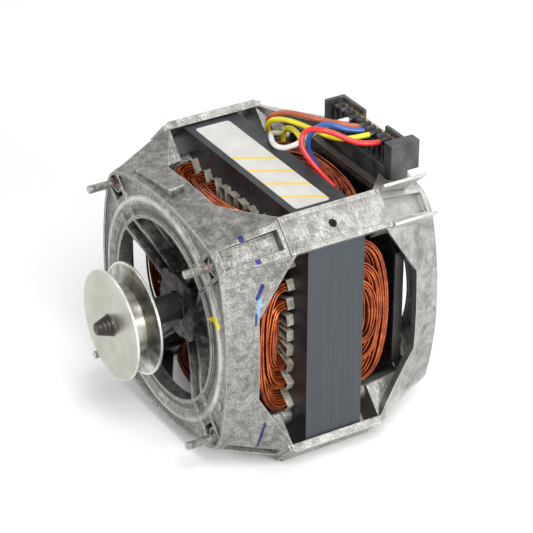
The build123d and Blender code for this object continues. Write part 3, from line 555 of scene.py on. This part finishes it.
frontMarks = [  # color, start, end, half width
    ("yellowPaint", (49.6, 0.0, 19.6), (56.0, -0.4, 23.0), 1.8),
    ("yellowPaint", (56.0, -0.4, 23.0), (58.6, -0.2, 19.8), 1.5),
    ("bluePaint", (54.2, 16.0, 65.4), (55.2, 16.0, 64.9), 1.5),
    ("bluePaint", (65.2, 19.5, 57.0), (66.0, 19.5, 56.2), 1.4),
    ("bluePaint", (68.4, 20.4, 43.4), (68.4, 17.6, 36.5), 1.1),
    ("skyPaint", (68.6, 19.0, 35.5), (69.2, 17.4, 26.8), 0.9),
    ("bluePaint", (69.0, 16.6, 27.5), (69.3, 16.2, 21.9), 0.6),
    ("bluePaint", (69.1, 21.9, -40.8), (67.8, 20.3, -48.5), 0.9),
    ("bluePaint", (67.8, 20.3, -48.5), (66.1, 18.9, -55.8), 0.7),
    # painted shade inside the threaded hole
    ("holeShade", (64.6, 62.9, 64.6), (68.0, 63.1, 68.0), 1.75),
]
rearMarks = [("glue", (60.6, 98.5, 74.0), (63.4, 102.0, 72.6), 1.7)]


def castTone(look, setup, grain):
    cloud = look.spots(*setup["cloud"])
    tone = look.calc("MULTIPLY", grain, setup["grainShare"])
    tone = look.calc("MULTIPLY_ADD", cloud, setup["cloudShare"], tone)
    tone = look.calc("MULTIPLY_ADD", look.patches, setup["patchShare"], tone)
    color = look.mix(tone, castColors["dull"], castColors["light"])
    specks = look.calc("MULTIPLY", look.specks, setup["speckShare"])
    color = look.mix(specks, color, castColors["speck"])
    return look.mix(look.spots(*setup["smear"]), color, castColors["grime"])


def castRing(look, setup, ring):
    face = look.ramp(look.gap(look.y, setup["middle"]), *metres(setup["face"]))
    radius, half = setup[ring]
    return look.calc("MULTIPLY", face, look.ramp(look.gap(look.radius, radius), half * mm, 0.0))


def castWalls(look, setup):
    walls = look.ramp(look.lookFromShaft(), *metres(setup["wallTurn"]))
    sides = look.ramp(look.lookToMiddle(setup["middle"]), *metres(setup["wallSide"]))
    walls = look.calc("MAXIMUM", walls, sides)
    walls = look.calc("MULTIPLY", walls, look.ramp(look.radius, *metres(setup["wallRadius"])))
    for way, end in zip(("GREATER_THAN", "LESS_THAN"), setup["wallEnds"]):
        walls = look.calc("MULTIPLY", walls, look.calc(way, look.y, end * mm))
    return walls


def castLook(name, oil, marks, crevice, cornerHighlight):
    setup = castSetup
    look = Look(name, setup["patch"], setup["speck"], setup["edge"])
    grain = look.spots(*setup["grain"])
    color = castTone(look, setup, grain)
    # painted shade in the valley ring, in the grime colour
    valley = look.calc("MULTIPLY", castRing(look, setup, "valley"), setup["valleyShare"])
    color = look.mix(valley, color, castColors["grime"])
    # painted highlight on the crest ring, in the edge colour
    crest = castRing(look, setup, "crest")
    crestHighlight = look.calc("MULTIPLY", crest, look.spots(*setup["crestHighlight"]))
    color = look.mix(crestHighlight, color, castColors["edge"])
    # painted shade in crevices, in the grime colour
    color = look.mix(look.crevice(*setup["crevice"], crevice), color, castColors["grime"])
    clean = look.ramp(look.y, *metres(setup["clean"]), 0.0, setup["cleanShare"])
    patches = look.ramp(look.patches, 0, 1, *setup["cleanPatches"])
    color = look.mix(look.calc("MULTIPLY", clean, patches), color, castColors["edge"])
    # painted shade on walls that look inwards
    walls = castWalls(look, setup)
    color = look.mix(look.calc("MULTIPLY", walls, setup["wallShare"]), color, castColors["inner"])
    # painted highlight on the corners of the rear shield
    corner = look.calc("MINIMUM", look.calc("ABSOLUTE", look.x), look.calc("ABSOLUTE", look.z))
    corner = look.ramp(corner, *metres(setup["corner"]))
    rear = look.ramp(look.y, *metres(setup["cornerFront"]), 0.0, cornerHighlight)
    color = look.mix(look.calc("MULTIPLY", corner, rear), color, castColors["edge"])
    # painted highlight along the edges
    edges = look.calc("MULTIPLY", look.edges, setup["edgeShare"])
    color = look.mix(edges, color, castColors["edge"])
    stain = look.noise(*setup["stain"])
    reach = look.calc("MULTIPLY_ADD", stain, setup["stainSpread"] * mm, look.radius)
    oiled = look.ramp(reach, *((oil + fade) * mm for fade in setup["oilFade"]))
    oiled = look.calc("MAXIMUM", oiled, look.spots(*setup["splash"]))
    wiped = look.calc("MULTIPLY", look.patches, grain)
    color = look.mix(oiled, color, look.mix(wiped, castColors["oily"], castColors["wiped"]))
    for paint, start, end, half in marks:
        mark = look.calc("MULTIPLY", look.stroke(start, end, half), setup["markShare"])
        color = look.mix(mark, color, castColors[paint])
    rough = look.ramp(oiled, 0, 1, *setup["roughness"])
    rough = look.calc("MULTIPLY_ADD", look.specks, setup["speckRoughness"], rough)
    rough = look.calc("MULTIPLY_ADD", crest, setup["crestRoughness"], rough)
    metal = look.ramp(look.calc("MAXIMUM", oiled, walls), 0, 1, *setup["metal"])
    pits = look.noise(*setup["pits"])
    height = look.calc("MULTIPLY_ADD", pits, setup["pitHeight"], look.height)
    return look.finish(color, rough, metal, setup["bump"], height, setup["depth"])


laminationSetup = {
    "patch": 60.0,
    "speck": 500.0,
    "edge": 0.4,
    "paint": (0.014, 0.016, 0.020),
    "wornPaint": (0.040, 0.045, 0.052),
    "bare": (0.052, 0.062, 0.070),
    "line": (0.034, 0.041, 0.047),
    "edgeColor": (0.3, 0.32, 0.34),
    "edgeShare": 0.4,
    "bareFrom": 71.1,
    "streaks": ((1, 900, 6), (1.0, 3.0, 0.7), (0.40, 0.75)),
    "sheet": 0.65,
    "sheetHeight": 0.25,
    "dull": ((14.0, 2.0), (0.4, 0.6)),
    "roughness": (0.38, 0.5),
    "metallic": 0.35,
    "bump": 0.35,
    "depth": 0.1,
}


def laminationLook(name, bareSide):
    setup = laminationSetup
    look = Look(name, setup["patch"], setup["speck"], setup["edge"])
    color = look.mix(look.patches, setup["paint"], setup["wornPaint"])
    if bareSide:
        side = look.calc("GREATER_THAN", look.x, setup["bareFrom"] * mm)
        bare = look.mix(look.streaks(*setup["streaks"]), setup["bare"], setup["line"])
        color = look.mix(side, color, bare)
    edges = look.calc("MULTIPLY", look.edges, setup["edgeShare"])
    color = look.mix(edges, color, setup["edgeColor"])
    sheets = look.ripple(look.y, setup["sheet"])
    height = look.calc("MULTIPLY_ADD", sheets, setup["sheetHeight"], look.height)
    rough = look.ramp(look.spots(*setup["dull"]), 0, 1, *setup["roughness"])
    return look.finish(color, rough, setup["metallic"], setup["bump"], height, setup["depth"])


copperSetup = {
    "patch": 120.0,
    "speck": 2000.0,
    "edge": 0.2,
    "dark": (0.32, 0.050, 0.010),
    "light": (0.68, 0.155, 0.034),
    "scorch": (0.15, 0.026, 0.010),
    "scorched": ((35.0, 3.0), (0.55, 0.75, 0.0, 0.8)),
    # between is the painted shade between the strands
    "between": (0.045, 0.008, 0.004),
    "crevice": (2.2, 0.85, 0.35, 0.95),
    "roughness": (0.20, 0.34),
    "metallic": 0.6,
    "bump": 0.1,
    "depth": 0.1,
    "coat": 0.3,
}


def copperLook(name):
    setup = copperSetup
    look = Look(name, setup["patch"], setup["speck"], setup["edge"])
    color = look.mix(look.patches, setup["dark"], setup["light"])
    color = look.mix(look.spots(*setup["scorched"]), color, setup["scorch"])
    # painted shade between the strands, read from occlusion
    color = look.mix(look.crevice(*setup["crevice"]), color, setup["between"])
    rough = look.ramp(look.specks, 0, 1, *setup["roughness"])
    return look.finish(
        color, rough, setup["metallic"], setup["bump"], depth=setup["depth"], coat=setup["coat"],
    )


def plainLook(
    name, colors, roughness, metallic=0.0, bump=0.25,
    patch=90.0, speck=900.0, edge=0.3, coat=0.0, edgeHighlight=None, edgeHighlightShare=0.6,
):
    look = Look(name, patch, speck, edge)
    color = look.mix(look.patches, *colors)
    # painted highlight along the edges
    if edgeHighlight:
        color = look.mix(look.calc("MULTIPLY", look.edges, edgeHighlightShare), color, edgeHighlight)
    rough = look.ramp(look.specks, 0, 1, *roughness)
    return look.finish(color, rough, metallic, bump, coat=coat)


pulleySetup = {
    "patch": 26.0,
    "speck": 1500.0,
    "edge": 0.4,
    # dark and light streaks along the axis: painted reflection
    "streaks": ((90, 4, 90), (1.0, 2.0, 0.6), (0.36, 0.64)),
    "dark": (0.20, 0.20, 0.175),
    "light": (0.66, 0.65, 0.60),
    "yellowed": (0.58, 0.51, 0.32),
    "yellowSpots": ((60.0, 2.0), (0.50, 0.62, 0.0, 0.35)),
    "violet": (0.40, 0.36, 0.46),
    "violetSpots": ((48.0, 2.0), (0.58, 0.7, 0.0, 0.4)),
    "groove": (0.15, 0.148, 0.135),
    "grooveRadius": (28.5, 24.5),
    "grooveShare": 0.45,
    "face": ((0.44, 0.44, 0.37), (0.53, 0.53, 0.45)),
    "faceFrom": -31.4,
    "faceShare": 0.85,
    # painted highlight on the rolled rim
    "rim": (0.80, 0.79, 0.74),
    "rimRadius": (29.8, 30.3),
    "rimShare": 0.8,
    "roughness": (0.28, 0.36),
    "faceRoughness": 0.04,
    "turning": 0.7,
    "turningHeight": 0.15,
    "metallic": 0.95,
    "bump": 0.12,
    "depth": 0.1,
}


def pulleyLook(name):
    setup = pulleySetup
    look = Look(name, setup["patch"], setup["speck"], setup["edge"])
    # painted reflection: dark and light streaks along the axis
    color = look.mix(look.streaks(*setup["streaks"]), setup["dark"], setup["light"])
    color = look.mix(look.spots(*setup["yellowSpots"]), color, setup["yellowed"])
    color = look.mix(look.spots(*setup["violetSpots"]), color, setup["violet"])
    groove = look.ramp(look.radius, *metres(setup["grooveRadius"]), 0.0, setup["grooveShare"])
    color = look.mix(groove, color, setup["groove"])
    front = look.calc("LESS_THAN", look.y, setup["faceFrom"] * mm)
    face = look.mix(look.patches, *setup["face"])
    color = look.mix(look.calc("MULTIPLY", front, setup["faceShare"]), color, face)
    # painted highlight on the rolled rim
    rim = look.ramp(look.radius, *metres(setup["rimRadius"]))
    color = look.mix(look.calc("MULTIPLY", rim, setup["rimShare"]), color, setup["rim"])
    rough = look.ramp(look.specks, 0, 1, *setup["roughness"])
    rough = look.calc("MULTIPLY_ADD", front, setup["faceRoughness"], rough)
    turning = look.ripple(look.radius, setup["turning"])
    height = look.calc("MULTIPLY_ADD", turning, setup["turningHeight"], look.height)
    return look.finish(color, rough, setup["metallic"], setup["bump"], height, setup["depth"])


# a steel or brass piece whose other end has another color
twoToneSetup = {
    "shaft": {
        "name": "shaftSteel",
        "patch": 120.0,
        "speck": 1200.0,
        "limit": -31.51,  # just in front of the shaft's step
        "front": ((0.025, 0.022, 0.02), (0.075, 0.06, 0.05)),
        "rear": ((0.33, 0.32, 0.30), (0.5, 0.49, 0.47)),
        "roughness": 0.4,
        "metallic": 0.7,
        "bump": 0.3,
    },
    "terminal": {
        "name": "crimpsAndTabs",
        "patch": 200.0,
        "speck": 1500.0,
        "limit": 121.5,
        "front": ((0.03, 0.03, 0.032), (0.10, 0.10, 0.105)),
        "rear": ((0.55, 0.40, 0.14), (0.72, 0.58, 0.28)),
        "roughness": 0.3,
        "metallic": 0.8,
        "bump": 0.2,
    },
}


def twoToneLook(name, patch, speck, limit, front, rear, roughness, metallic, bump):
    look = Look(name, patch, speck)
    colors = look.mix(look.patches, *front), look.mix(look.patches, *rear)
    color = look.mix(look.calc("GREATER_THAN", look.y, limit * mm), *colors)
    return look.finish(color, roughness, metallic, bump)


boltSetup = {
    "patch": 300.0,
    "speck": 1500.0,
    "steel": ((0.34, 0.33, 0.31), (0.58, 0.57, 0.54)),
    "crevice": (0.6, 0.95, 0.55, 0.85),
    "creviceShade": (0.07, 0.065, 0.06),
    "rust": (0.20, 0.065, 0.02),
    "rustSpots": ((160.0, 5.0), (0.50, 0.62)),
    "rustFrom": (-9.0, -1.0),
    "rustShare": 0.9,
    "pitch": 1.05,
    "threadTo": 4.0,
    "roughness": 0.34,
    "metallic": 0.85,
    "bump": 1.0,
    "depth": 0.3,
}


def boltLook(name):
    setup = boltSetup
    look = Look(name, setup["patch"], setup["speck"])
    steel = look.mix(look.patches, *setup["steel"])
    # painted shade in the thread crevices
    steel = look.mix(look.crevice(*setup["crevice"]), steel, setup["creviceShade"])
    nearFace = look.ramp(look.y, *metres(setup["rustFrom"]))
    rust = look.calc("MULTIPLY", nearFace, setup["rustShare"])
    rust = look.calc("MULTIPLY", look.spots(*setup["rustSpots"]), rust)
    color = look.mix(rust, steel, setup["rust"])
    threaded = look.calc("LESS_THAN", look.y, setup["threadTo"] * mm)
    thread = look.calc("MULTIPLY", look.ripple(look.y, setup["pitch"]), threaded)
    return look.finish(
        color, setup["roughness"], setup["metallic"], setup["bump"], thread, setup["depth"],
    )


labelSetup = {
    "patch": 80.0,
    "speck": 900.0,
    "edge": 0.1,
    "paper": ((0.62, 0.61, 0.57), (0.70, 0.69, 0.66)),
    "rule": (0.80, 0.60, 0.12),
    "rules": (-12.5, 4.0, 20.5, 37.0),
    "ruleHalf": 1.4,
    "slant": 0.55,
    "start": 50.0,
    "grime": (0.32, 0.29, 0.25),
    "grimeSpots": ((70.0, 5.0), (0.60, 0.78, 0.0, 0.5)),
    "roughness": 0.5,
    "bump": 0.1,
}


def labelLook(name):
    setup = labelSetup
    look = Look(name, setup["patch"], setup["speck"], setup["edge"])
    color = look.mix(look.patches, *setup["paper"])
    along = look.calc("SUBTRACT", look.y, setup["start"] * mm)
    across = look.calc("MULTIPLY_ADD", along, -setup["slant"], look.x)
    for place in setup["rules"]:
        rule = look.calc("LESS_THAN", look.gap(across, place), setup["ruleHalf"] * mm)
        color = look.mix(rule, color, setup["rule"])
    color = look.mix(look.spots(*setup["grimeSpots"]), color, setup["grime"])
    return look.finish(color, setup["roughness"], bump=setup["bump"])


looks = {
    "frontCast": castLook("frontCastAluminium", 46.0, frontMarks, crevice=0.8, cornerHighlight=0.0),
    "rearCast": castLook("rearCastAluminium", 30.0, rearMarks, crevice=0.5, cornerHighlight=0.45),
    "lamination": laminationLook("paintedLaminations", bareSide=True),
    "rotorSteel": laminationLook("rotorLaminations", bareSide=False),
    "copper": copperLook("enamelledCopper"),
    "pulley": pulleyLook("paleZincPulley"),
    "shaft": twoToneLook(**twoToneSetup["shaft"]),
    "stud": boltLook("studSteel"),
    "terminal": twoToneLook(**twoToneSetup["terminal"]),
    "label": labelLook("bareLabel"),
    "liner": plainLook(
        "linerFilm", ((0.22, 0.195, 0.15), (0.46, 0.43, 0.36)), (0.3, 0.5), patch=200.0,
    ),
    "zinc": plainLook(
        "zincPlate", ((0.45, 0.44, 0.42), (0.62, 0.61, 0.58)), (0.3, 0.45), metallic=0.85,
    ),
    "bronze": plainLook(
        "sinteredBronze", ((0.22, 0.13, 0.06), (0.36, 0.22, 0.11)), (0.4, 0.55), metallic=0.7,
    ),
    "felt": plainLook(
        "oiledFelt", ((0.12, 0.10, 0.07), (0.24, 0.20, 0.15)), (0.8, 0.95), bump=0.8,
        speck=2500.0,
    ),
    "rubber": plainLook(
        "blackSleeve", ((0.010, 0.010, 0.010), (0.03, 0.028, 0.026)), (0.45, 0.65), bump=0.5,
        speck=700.0,
    ),
    "phenolic": plainLook(
        "brownPhenolic", ((0.09, 0.04, 0.02), (0.16, 0.08, 0.04)), (0.35, 0.5),
    ),
    "blackPlastic": plainLook(
        "blackPlastic", ((0.007, 0.007, 0.008), (0.020, 0.020, 0.020)), (0.26, 0.40),
        speck=1400.0, edge=0.5, edgeHighlight=(0.09, 0.09, 0.09),
    ),
    # a lighter copy of the black plastic: painted light on the baffle bar
    "litBarPlastic": plainLook(
        "litBarPlastic", ((0.028, 0.025, 0.022), (0.075, 0.068, 0.060)), (0.34, 0.48), bump=0.4,
        speck=1400.0, edge=0.7, edgeHighlight=(0.26, 0.24, 0.21),
    ),
    # a lighter copy of the black plastic: painted light on the terminal block
    "litBlockPlastic": plainLook(
        "litBlockPlastic", ((0.022, 0.022, 0.022), (0.085, 0.085, 0.083)), (0.38, 0.5), bump=0.5,
        patch=60.0, speck=1100.0, edge=0.6, edgeHighlight=(0.20, 0.20, 0.20),
    ),
    "brass": plainLook(
        "contactBrass", ((0.5, 0.37, 0.13), (0.7, 0.56, 0.26)), (0.25, 0.35), metallic=0.9,
    ),
}
lookNodes = {
    "frontCast": ["front_end_shield"],
    "rearCast": ["rear_end_shield", "rotor_cage"],
    "lamination": ["stator_core"],
    "rotorSteel": ["rotor_core"],
    "pulley": ["pulley_front_flange", "pulley_drum", "pulley_rear_flange"],
    "shaft": ["rotor_shaft"],
    "stud": ["through_bolts"],
    "terminal": ["terminals"],
    "label": ["motor_label"],
    "liner": ["slot_liners"],
    "zinc": [
        "front_bearing_retainer", "rear_bearing_retainer", "front_rotor_spacer",
        "rear_rotor_spacer", "governor_plate", "governor_pins", "governor_weight_upper",
        "governor_weight_lower", "switch_bracket", "switch_lever_pin",
    ],
    "bronze": ["front_bearing", "rear_bearing"],
    "felt": ["front_oil_wick", "rear_oil_wick"],
    "rubber": ["shaft_sleeve"],
    "phenolic": [
        "front_thrust_washer", "rear_thrust_washer", "switch_collar", "switch_lever",
    ],
    "blackPlastic": ["air_baffle", "overload_protector"],
    "litBarPlastic": ["baffle_bar"],
    "litBlockPlastic": ["terminal_block"],
    "brass": ["switch_contact"],
}
for key, names in lookNodes.items():
    for name in names:
        node = nodes[name]
        if not node.material_slots:
            node.data.materials.append(looks[key])
        for materialSlot in node.material_slots:
            materialSlot.material = looks[key]
print("materials are on", sum(len(names) for names in lookNodes.values()), "nodes")


# leads

leadColors = {
    "lead_orange": (0.56, 0.11, 0.04),
    "lead_yellow_long": (0.96, 0.86, 0.015),
    "lead_yellow_short": (0.94, 0.84, 0.02),
    "lead_white": (0.86, 0.85, 0.80),
    "lead_blue": (0.035, 0.12, 0.42),
    "lead_red": (0.80, 0.03, 0.03),
}
leadSetup = {
    "diameter": 3.0,
    "roundness": 5,
    "darker": 0.86,
    "roughness": (0.26, 0.38),
    "bump": 0.12,
    "patch": 160.0,
    "speck": 2500.0,
    "edge": 0.1,
    "coat": 0.25,
    "routes": {
        "lead_orange": [
            (-46, 95, 60.7), (-44.5, 90.5, 68), (-38.5, 90, 75.5), (-28.5, 93.5, 81),
            (-15, 96, 84), (-2, 99, 86), (6, 104, 86.5), (10, 110, 85), (10.78, 115.3, 83.5),
        ],
        "lead_yellow_long": [
            (-42, 92, 60.7), (-40.5, 88, 68), (-35, 88, 75), (-25.5, 90.5, 78.5),
            (-12, 93, 80.5), (2, 94, 82), (13.5, 97.5, 82.5), (19.5, 103.5, 83),
            (20.94, 115.3, 83.5),
        ],
        "lead_yellow_short": [
            (-34, 95, 60.7), (-33, 94.5, 67.5), (-26.5, 94, 72.5), (-17.5, 94, 73),
            (-11, 94, 68), (-10, 95, 61),
        ],
        "lead_white": [
            (-37.5, 100, 61.5), (-36, 89, 66.5), (-22, 79.5, 73.3), (-10, 74, 74.2),
            (-2.5, 75.5, 75), (-0.5, 80.5, 76), (-2.5, 87.5, 76.5), (-5.5, 96.5, 77.5),
            (-5.5, 105.5, 79.5), (-1.5, 109.5, 82.3), (0.62, 115.3, 83.5),
        ],
        "lead_blue": [
            (0, 96, 60.7), (1, 91.5, 67), (2, 88, 74.5), (2.5, 88.5, 81.5), (3.5, 92.5, 86),
            (6.5, 97.5, 88), (11, 101.5, 87), (14, 108, 84.5), (15.86, 115.3, 83.5),
        ],
        "lead_red": [
            (26, 90, 61), (21.5, 86.5, 66), (17, 83, 71.5), (14, 79.5, 77.5), (11, 78, 83),
            (9, 80.5, 88), (12, 84.5, 91), (17, 88.5, 91), (20, 94, 89), (26.5, 99.5, 86),
            (30.5, 107, 84), (31.1, 115.3, 83.5),
        ],
    },
}


def newCurve(name, diameter, roundness):
    curve = bpy.data.curves.new(name + "_line", "CURVE")
    curve.dimensions = "3D"
    curve.bevel_depth = diameter / 2
    curve.bevel_resolution = roundness
    return curve


def newSpline(curve, points, resolution=12):
    spline = curve.splines.new("NURBS")
    spline.points.add(len(points) - 1)
    for point, place in zip(spline.points, points):
        point.co = (*place, 1)
    spline.order_u = 3
    spline.use_endpoint_u = True
    spline.resolution_u = resolution
    return spline


def leadLook(name, color, setup):
    darker = tuple(c * setup["darker"] for c in color)
    return plainLook(
        name, (darker, color), setup["roughness"], bump=setup["bump"], patch=setup["patch"],
        speck=setup["speck"], edge=setup["edge"], coat=setup["coat"],
    )


def addLead(name, route, setup):
    diameter = setup["diameter"] * mm
    curve = newCurve(name, diameter, setup["roundness"])
    curve.use_fill_caps = True
    points = [metres(place) for place in route]
    spline = newSpline(curve, points)
    lead = bpy.data.objects.new(name + "_insulated", curve)
    bpy.context.collection.objects.link(lead)
    curve.materials.append(leadLook(name + "Insulation", leadColors[name], setup))
    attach(lead, "motor_frame")
    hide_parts(name)


for name, route in leadSetup["routes"].items():
    addLead(name, route, leadSetup)


# copper winding

windingSetup = {
    "wire": 1.34,
    "roundness": 1,
    "resolution": 4,
    "pitch": 1.56,
    "stackFront": 46.0,
    "stackRear": 80.0,
    "slotAngles": (38.0, 28.5, 19.0),
    "firstRows": (57.2, 51.0, 47.6),
    "rows": (10, 9, 8),
    "columns": 3,
    "middle": (49.0, 60.0),
    "reach": (12.5, 22.6),
    "coilStep": 3.4,
    "squareness": 2.5,
    "wander": 0.8,
    "cuff": 5.6,
    "foot": 0.7,
    "steps": (0.1, 0.28, 0.5, 0.72, 0.9),
    "seed": 7,
    "poles": {
        "main_coils_right": 0,
        "main_coils_top": 90,
        "main_coils_left": 180,
        "main_coils_bottom": 270,
    },
}


def strandPoints(setup, coil, row, column, rng):
    # one turn: up a slot, over the front end, down the other slot and back over the rear
    slope = math.radians(setup["slotAngles"][coil])
    pitch = setup["pitch"] * mm
    radius = setup["firstRows"][coil] * mm + row * pitch
    across = (column - (setup["columns"] - 1) / 2) * pitch
    x = radius * math.cos(slope) - across * math.sin(slope)
    z = radius * math.sin(slope) + across * math.cos(slope)
    share = row / (setup["rows"][coil] - 1)
    low, high = setup["middle"]
    middle = (low + (high - low) * share) * mm
    near, far = setup["reach"]
    reach = (near + (far - near) * share - setup["coilStep"] * coil) * mm + across
    wander = setup["wander"] * mm
    power = 2 / setup["squareness"]
    cuff = setup["cuff"] * mm
    ends = []
    for face, way in ((setup["stackFront"] * mm, -1), (setup["stackRear"] * mm, 1)):
        arc = []
        for step in setup["steps"]:
            dx, dy = rng.uniform(-wander, wander), rng.uniform(-wander, wander)
            turn = math.pi * step
            out = math.sin(turn) ** power
            sideways = math.copysign(abs(math.cos(turn)) ** power, math.cos(turn))
            level = cuff + (reach - cuff) * out + dy * out
            outwards = x + (middle - x) * math.sin(turn) + dx * out
            arc.append((outwards, face + way * level, z * sideways))
        foot = face + way * cuff * setup["foot"]
        ends.append([(x, foot, z), *arc, (x, foot, -z)])
    front, rear = ends
    return [*reversed(front), *rear]


def pick(piece):
    bpy.ops.object.select_all(action="DESELECT")
    piece.select_set(True)
    bpy.context.view_layer.objects.active = piece


def addWinding(name, pole, setup):
    rng = random.Random(pole + setup["seed"])
    curve = newCurve(name, setup["wire"] * mm, setup["roundness"])
    turn = Matrix.Rotation(math.radians(-pole), 3, "Y")
    for coil, rows in enumerate(setup["rows"]):
        for column in range(setup["columns"]):
            run = []
            for row in range(rows):
                run += strandPoints(setup, coil, row, column, rng)
            newSpline(curve, [turn @ Vector(p) for p in run], setup["resolution"])
    winding = bpy.data.objects.new(name + "_wires", curve)
    bpy.context.collection.objects.link(winding)
    pick(winding)
    bpy.ops.object.convert(target="MESH")
    winding = bpy.context.object
    winding.data.materials.clear()
    winding.data.materials.append(looks["copper"])
    bpy.ops.object.shade_smooth()
    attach(winding, "motor_frame")
    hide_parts(name)
    print(name, "has", len(winding.data.polygons) * 2, "triangles")


for name, pole in windingSetup["poles"].items():
    addWinding(name, pole, windingSetup)
print("winding is in")


# small castings, crimps and threads

def copyOf(piece, place):
    pick(piece)
    bpy.ops.object.duplicate()
    bpy.context.object.location = place
    return bpy.context.object


def joinAll(pieces):
    pick(pieces[0])
    for piece in pieces:
        piece.select_set(True)
    bpy.ops.object.join()
    return bpy.context.object


seatSetup = {"segments": 3, "smoothAngle": 35}


def seat(piece, name, look, bevel=0.0):
    # bevels a new piece, puts its place into its mesh and seats it on the frame
    piece.name = name
    bpy.ops.object.transform_apply(location=True, rotation=True, scale=True)
    if bevel:
        rounding = piece.modifiers.new("rounding", "BEVEL")
        rounding.width = bevel * mm
        rounding.segments = seatSetup["segments"]
        bpy.ops.object.modifier_apply(modifier="rounding")
    bpy.ops.object.shade_smooth_by_angle(angle=math.radians(seatSetup["smoothAngle"]))
    piece.data.materials.clear()
    piece.data.materials.append(looks[look])
    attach(piece, "motor_frame")


padSetup = {
    "left": -37.0,
    "right": 2.5,
    "front": 4.0,
    "rear": 13.0,
    "root": 64.0,
    "leftTop": 67.6,
    "rightTop": 73.0,
    "frontDrop": 0.8,
    "bevel": 0.7,
}


def addSkirtPad(setup):
    bpy.ops.object.select_all(action="DESELECT")
    bpy.ops.mesh.primitive_cube_add(size=2 * mm)
    pad = bpy.context.object
    for vertex in pad.data.vertices:
        high, rear, right = vertex.co.z > 0, vertex.co.y > 0, vertex.co.x > 0
        top = setup["rightTop" if right else "leftTop"]
        top -= 0 if rear else setup["frontDrop"]
        x, y = setup["right" if right else "left"], setup["rear" if rear else "front"]
        vertex.co = metres((x, y, top if high else setup["root"]))
    seat(pad, "skirt_pad", "frontCast", setup["bevel"])


finSetup = {
    "across": 10.0,
    "half": 0.9,
    "frontRoot": 88.0,
    "rearRoot": 81.0,
    "front": 96.3,
    "rearLow": 117.0,
    "rearHigh": 123.0,
    "tops": {1: 99.4, -1: 95.4},  # side of the corner, distance from the shaft
    "bevel": 0.35,
}


def addFins(setup):
    # two thin fins at the rear corner beside the terminal block
    out, across = Vector((1, 0, 1)).normalized(), Vector((-1, 0, 1)).normalized()
    fins = []
    for side, top in setup["tops"].items():
        bpy.ops.object.select_all(action="DESELECT")
        bpy.ops.mesh.primitive_cube_add(size=2 * mm)
        fin = bpy.context.object
        for vertex in fin.data.vertices:
            high, rear, face = vertex.co.z > 0, vertex.co.y > 0, 1 if vertex.co.x > 0 else -1
            level = top if high else setup["rearRoot" if rear else "frontRoot"]
            place = out * level + across * (side * setup["across"] + face * setup["half"])
            place.y = setup["rearHigh" if high else "rearLow"] if rear else setup["front"]
            vertex.co = place * mm
        fins.append(fin)
    pair = joinAll(fins)
    bpy.ops.object.mode_set(mode="EDIT")
    bpy.ops.mesh.select_all(action="SELECT")
    bpy.ops.mesh.normals_make_consistent(inside=False)
    bpy.ops.object.mode_set(mode="OBJECT")
    seat(pair, "corner_fins", "rearCast", setup["bevel"])


boltThreadSetup = {
    "place": 52.0,
    "front": -14.9,
    "pitch": 1.15,
    "turns": 13,
    "radius": 2.0,
    "wire": 0.33,
    "facets": (28, 6),
}


def addTurn(setup, place, rotation):
    bpy.ops.object.select_all(action="DESELECT")
    around, thick = setup["facets"]
    bpy.ops.mesh.primitive_torus_add(
        major_radius=setup["radius"] * mm, minor_radius=setup["wire"] * mm,
        major_segments=around, minor_segments=thick, location=place, rotation=rotation,
    )
    return bpy.context.object


def addStudThreads(setup):
    side = setup["place"]
    places = [
        metres((x * side, setup["front"] + turn * setup["pitch"], z * side))
        for x, z in ((1, 1), (-1, 1), (-1, -1), (1, -1))
        for turn in range(setup["turns"])
    ]
    first = addTurn(setup, places[0], (math.radians(90), 0, 0))
    threads = joinAll([first, *(copyOf(first, place) for place in places[1:])])
    seat(threads, "stud_threads", "stud")


buttonSetup = {
    "place": (57.2, 1.0, -28.7),
    "radius": 3.3,
    "height": 1.4,
    "facets": 40,
    "bevel": 0.45,
}


def addButton(setup):
    bpy.ops.object.select_all(action="DESELECT")
    bpy.ops.mesh.primitive_cylinder_add(
        vertices=setup["facets"], radius=setup["radius"] * mm, depth=setup["height"] * mm,
        location=metres(setup["place"]), rotation=(math.radians(90), 0, 0),
    )
    button = bpy.context.object
    seat(button, "ejector_button", "frontCast", setup["bevel"])


crimpSetup = {
    "x": {"orange": 10.78, "yellow": 20.94, "white": 0.62, "blue": 15.86, "red": 31.1},
    "y": 115.6,
    "z": 83.5,
    "front": 1.72,
    "rear": 2.02,
    "length": 2.4,
    "facets": 28,
    "bevel": 0.15,
}


def addCrimps(setup):
    places = [metres((x, setup["y"], setup["z"])) for x in setup["x"].values()]
    bpy.ops.object.select_all(action="DESELECT")
    bpy.ops.mesh.primitive_cone_add(
        vertices=setup["facets"], radius1=setup["front"] * mm, radius2=setup["rear"] * mm,
        depth=setup["length"] * mm, location=places[0], rotation=(math.radians(-90), 0, 0),
    )
    first = bpy.context.object
    collars = [first, *(copyOf(first, place) for place in places[1:])]
    for lead, collar in zip(setup["x"], collars):
        pick(collar)
        seat(collar, "crimp_collar_" + lead, "terminal", setup["bevel"])


armThreadSetup = {
    "y": 63.0,
    "out": (91.4, 92.2, 93.0, 93.8),
    "radius": 2.25,
    "wire": 0.22,
    "facets": (36, 8),
}


def addArmThread(setup):
    sides = [out / math.sqrt(2) for out in setup["out"]]
    places = [metres((side, setup["y"], side)) for side in sides]
    first = addTurn(setup, places[0], (0, math.radians(45), 0))
    thread = joinAll([first, *(copyOf(first, place) for place in places[1:])])
    # the thread turns take the black plastic look: painted shade in the hole
    seat(thread, "arm_hole_thread", "blackPlastic")


addSkirtPad(padSetup)
addFins(finSetup)
addStudThreads(boltThreadSetup)
addButton(buttonSetup)
addCrimps(crimpSetup)
addArmThread(armThreadSetup)
print("small pieces are in")
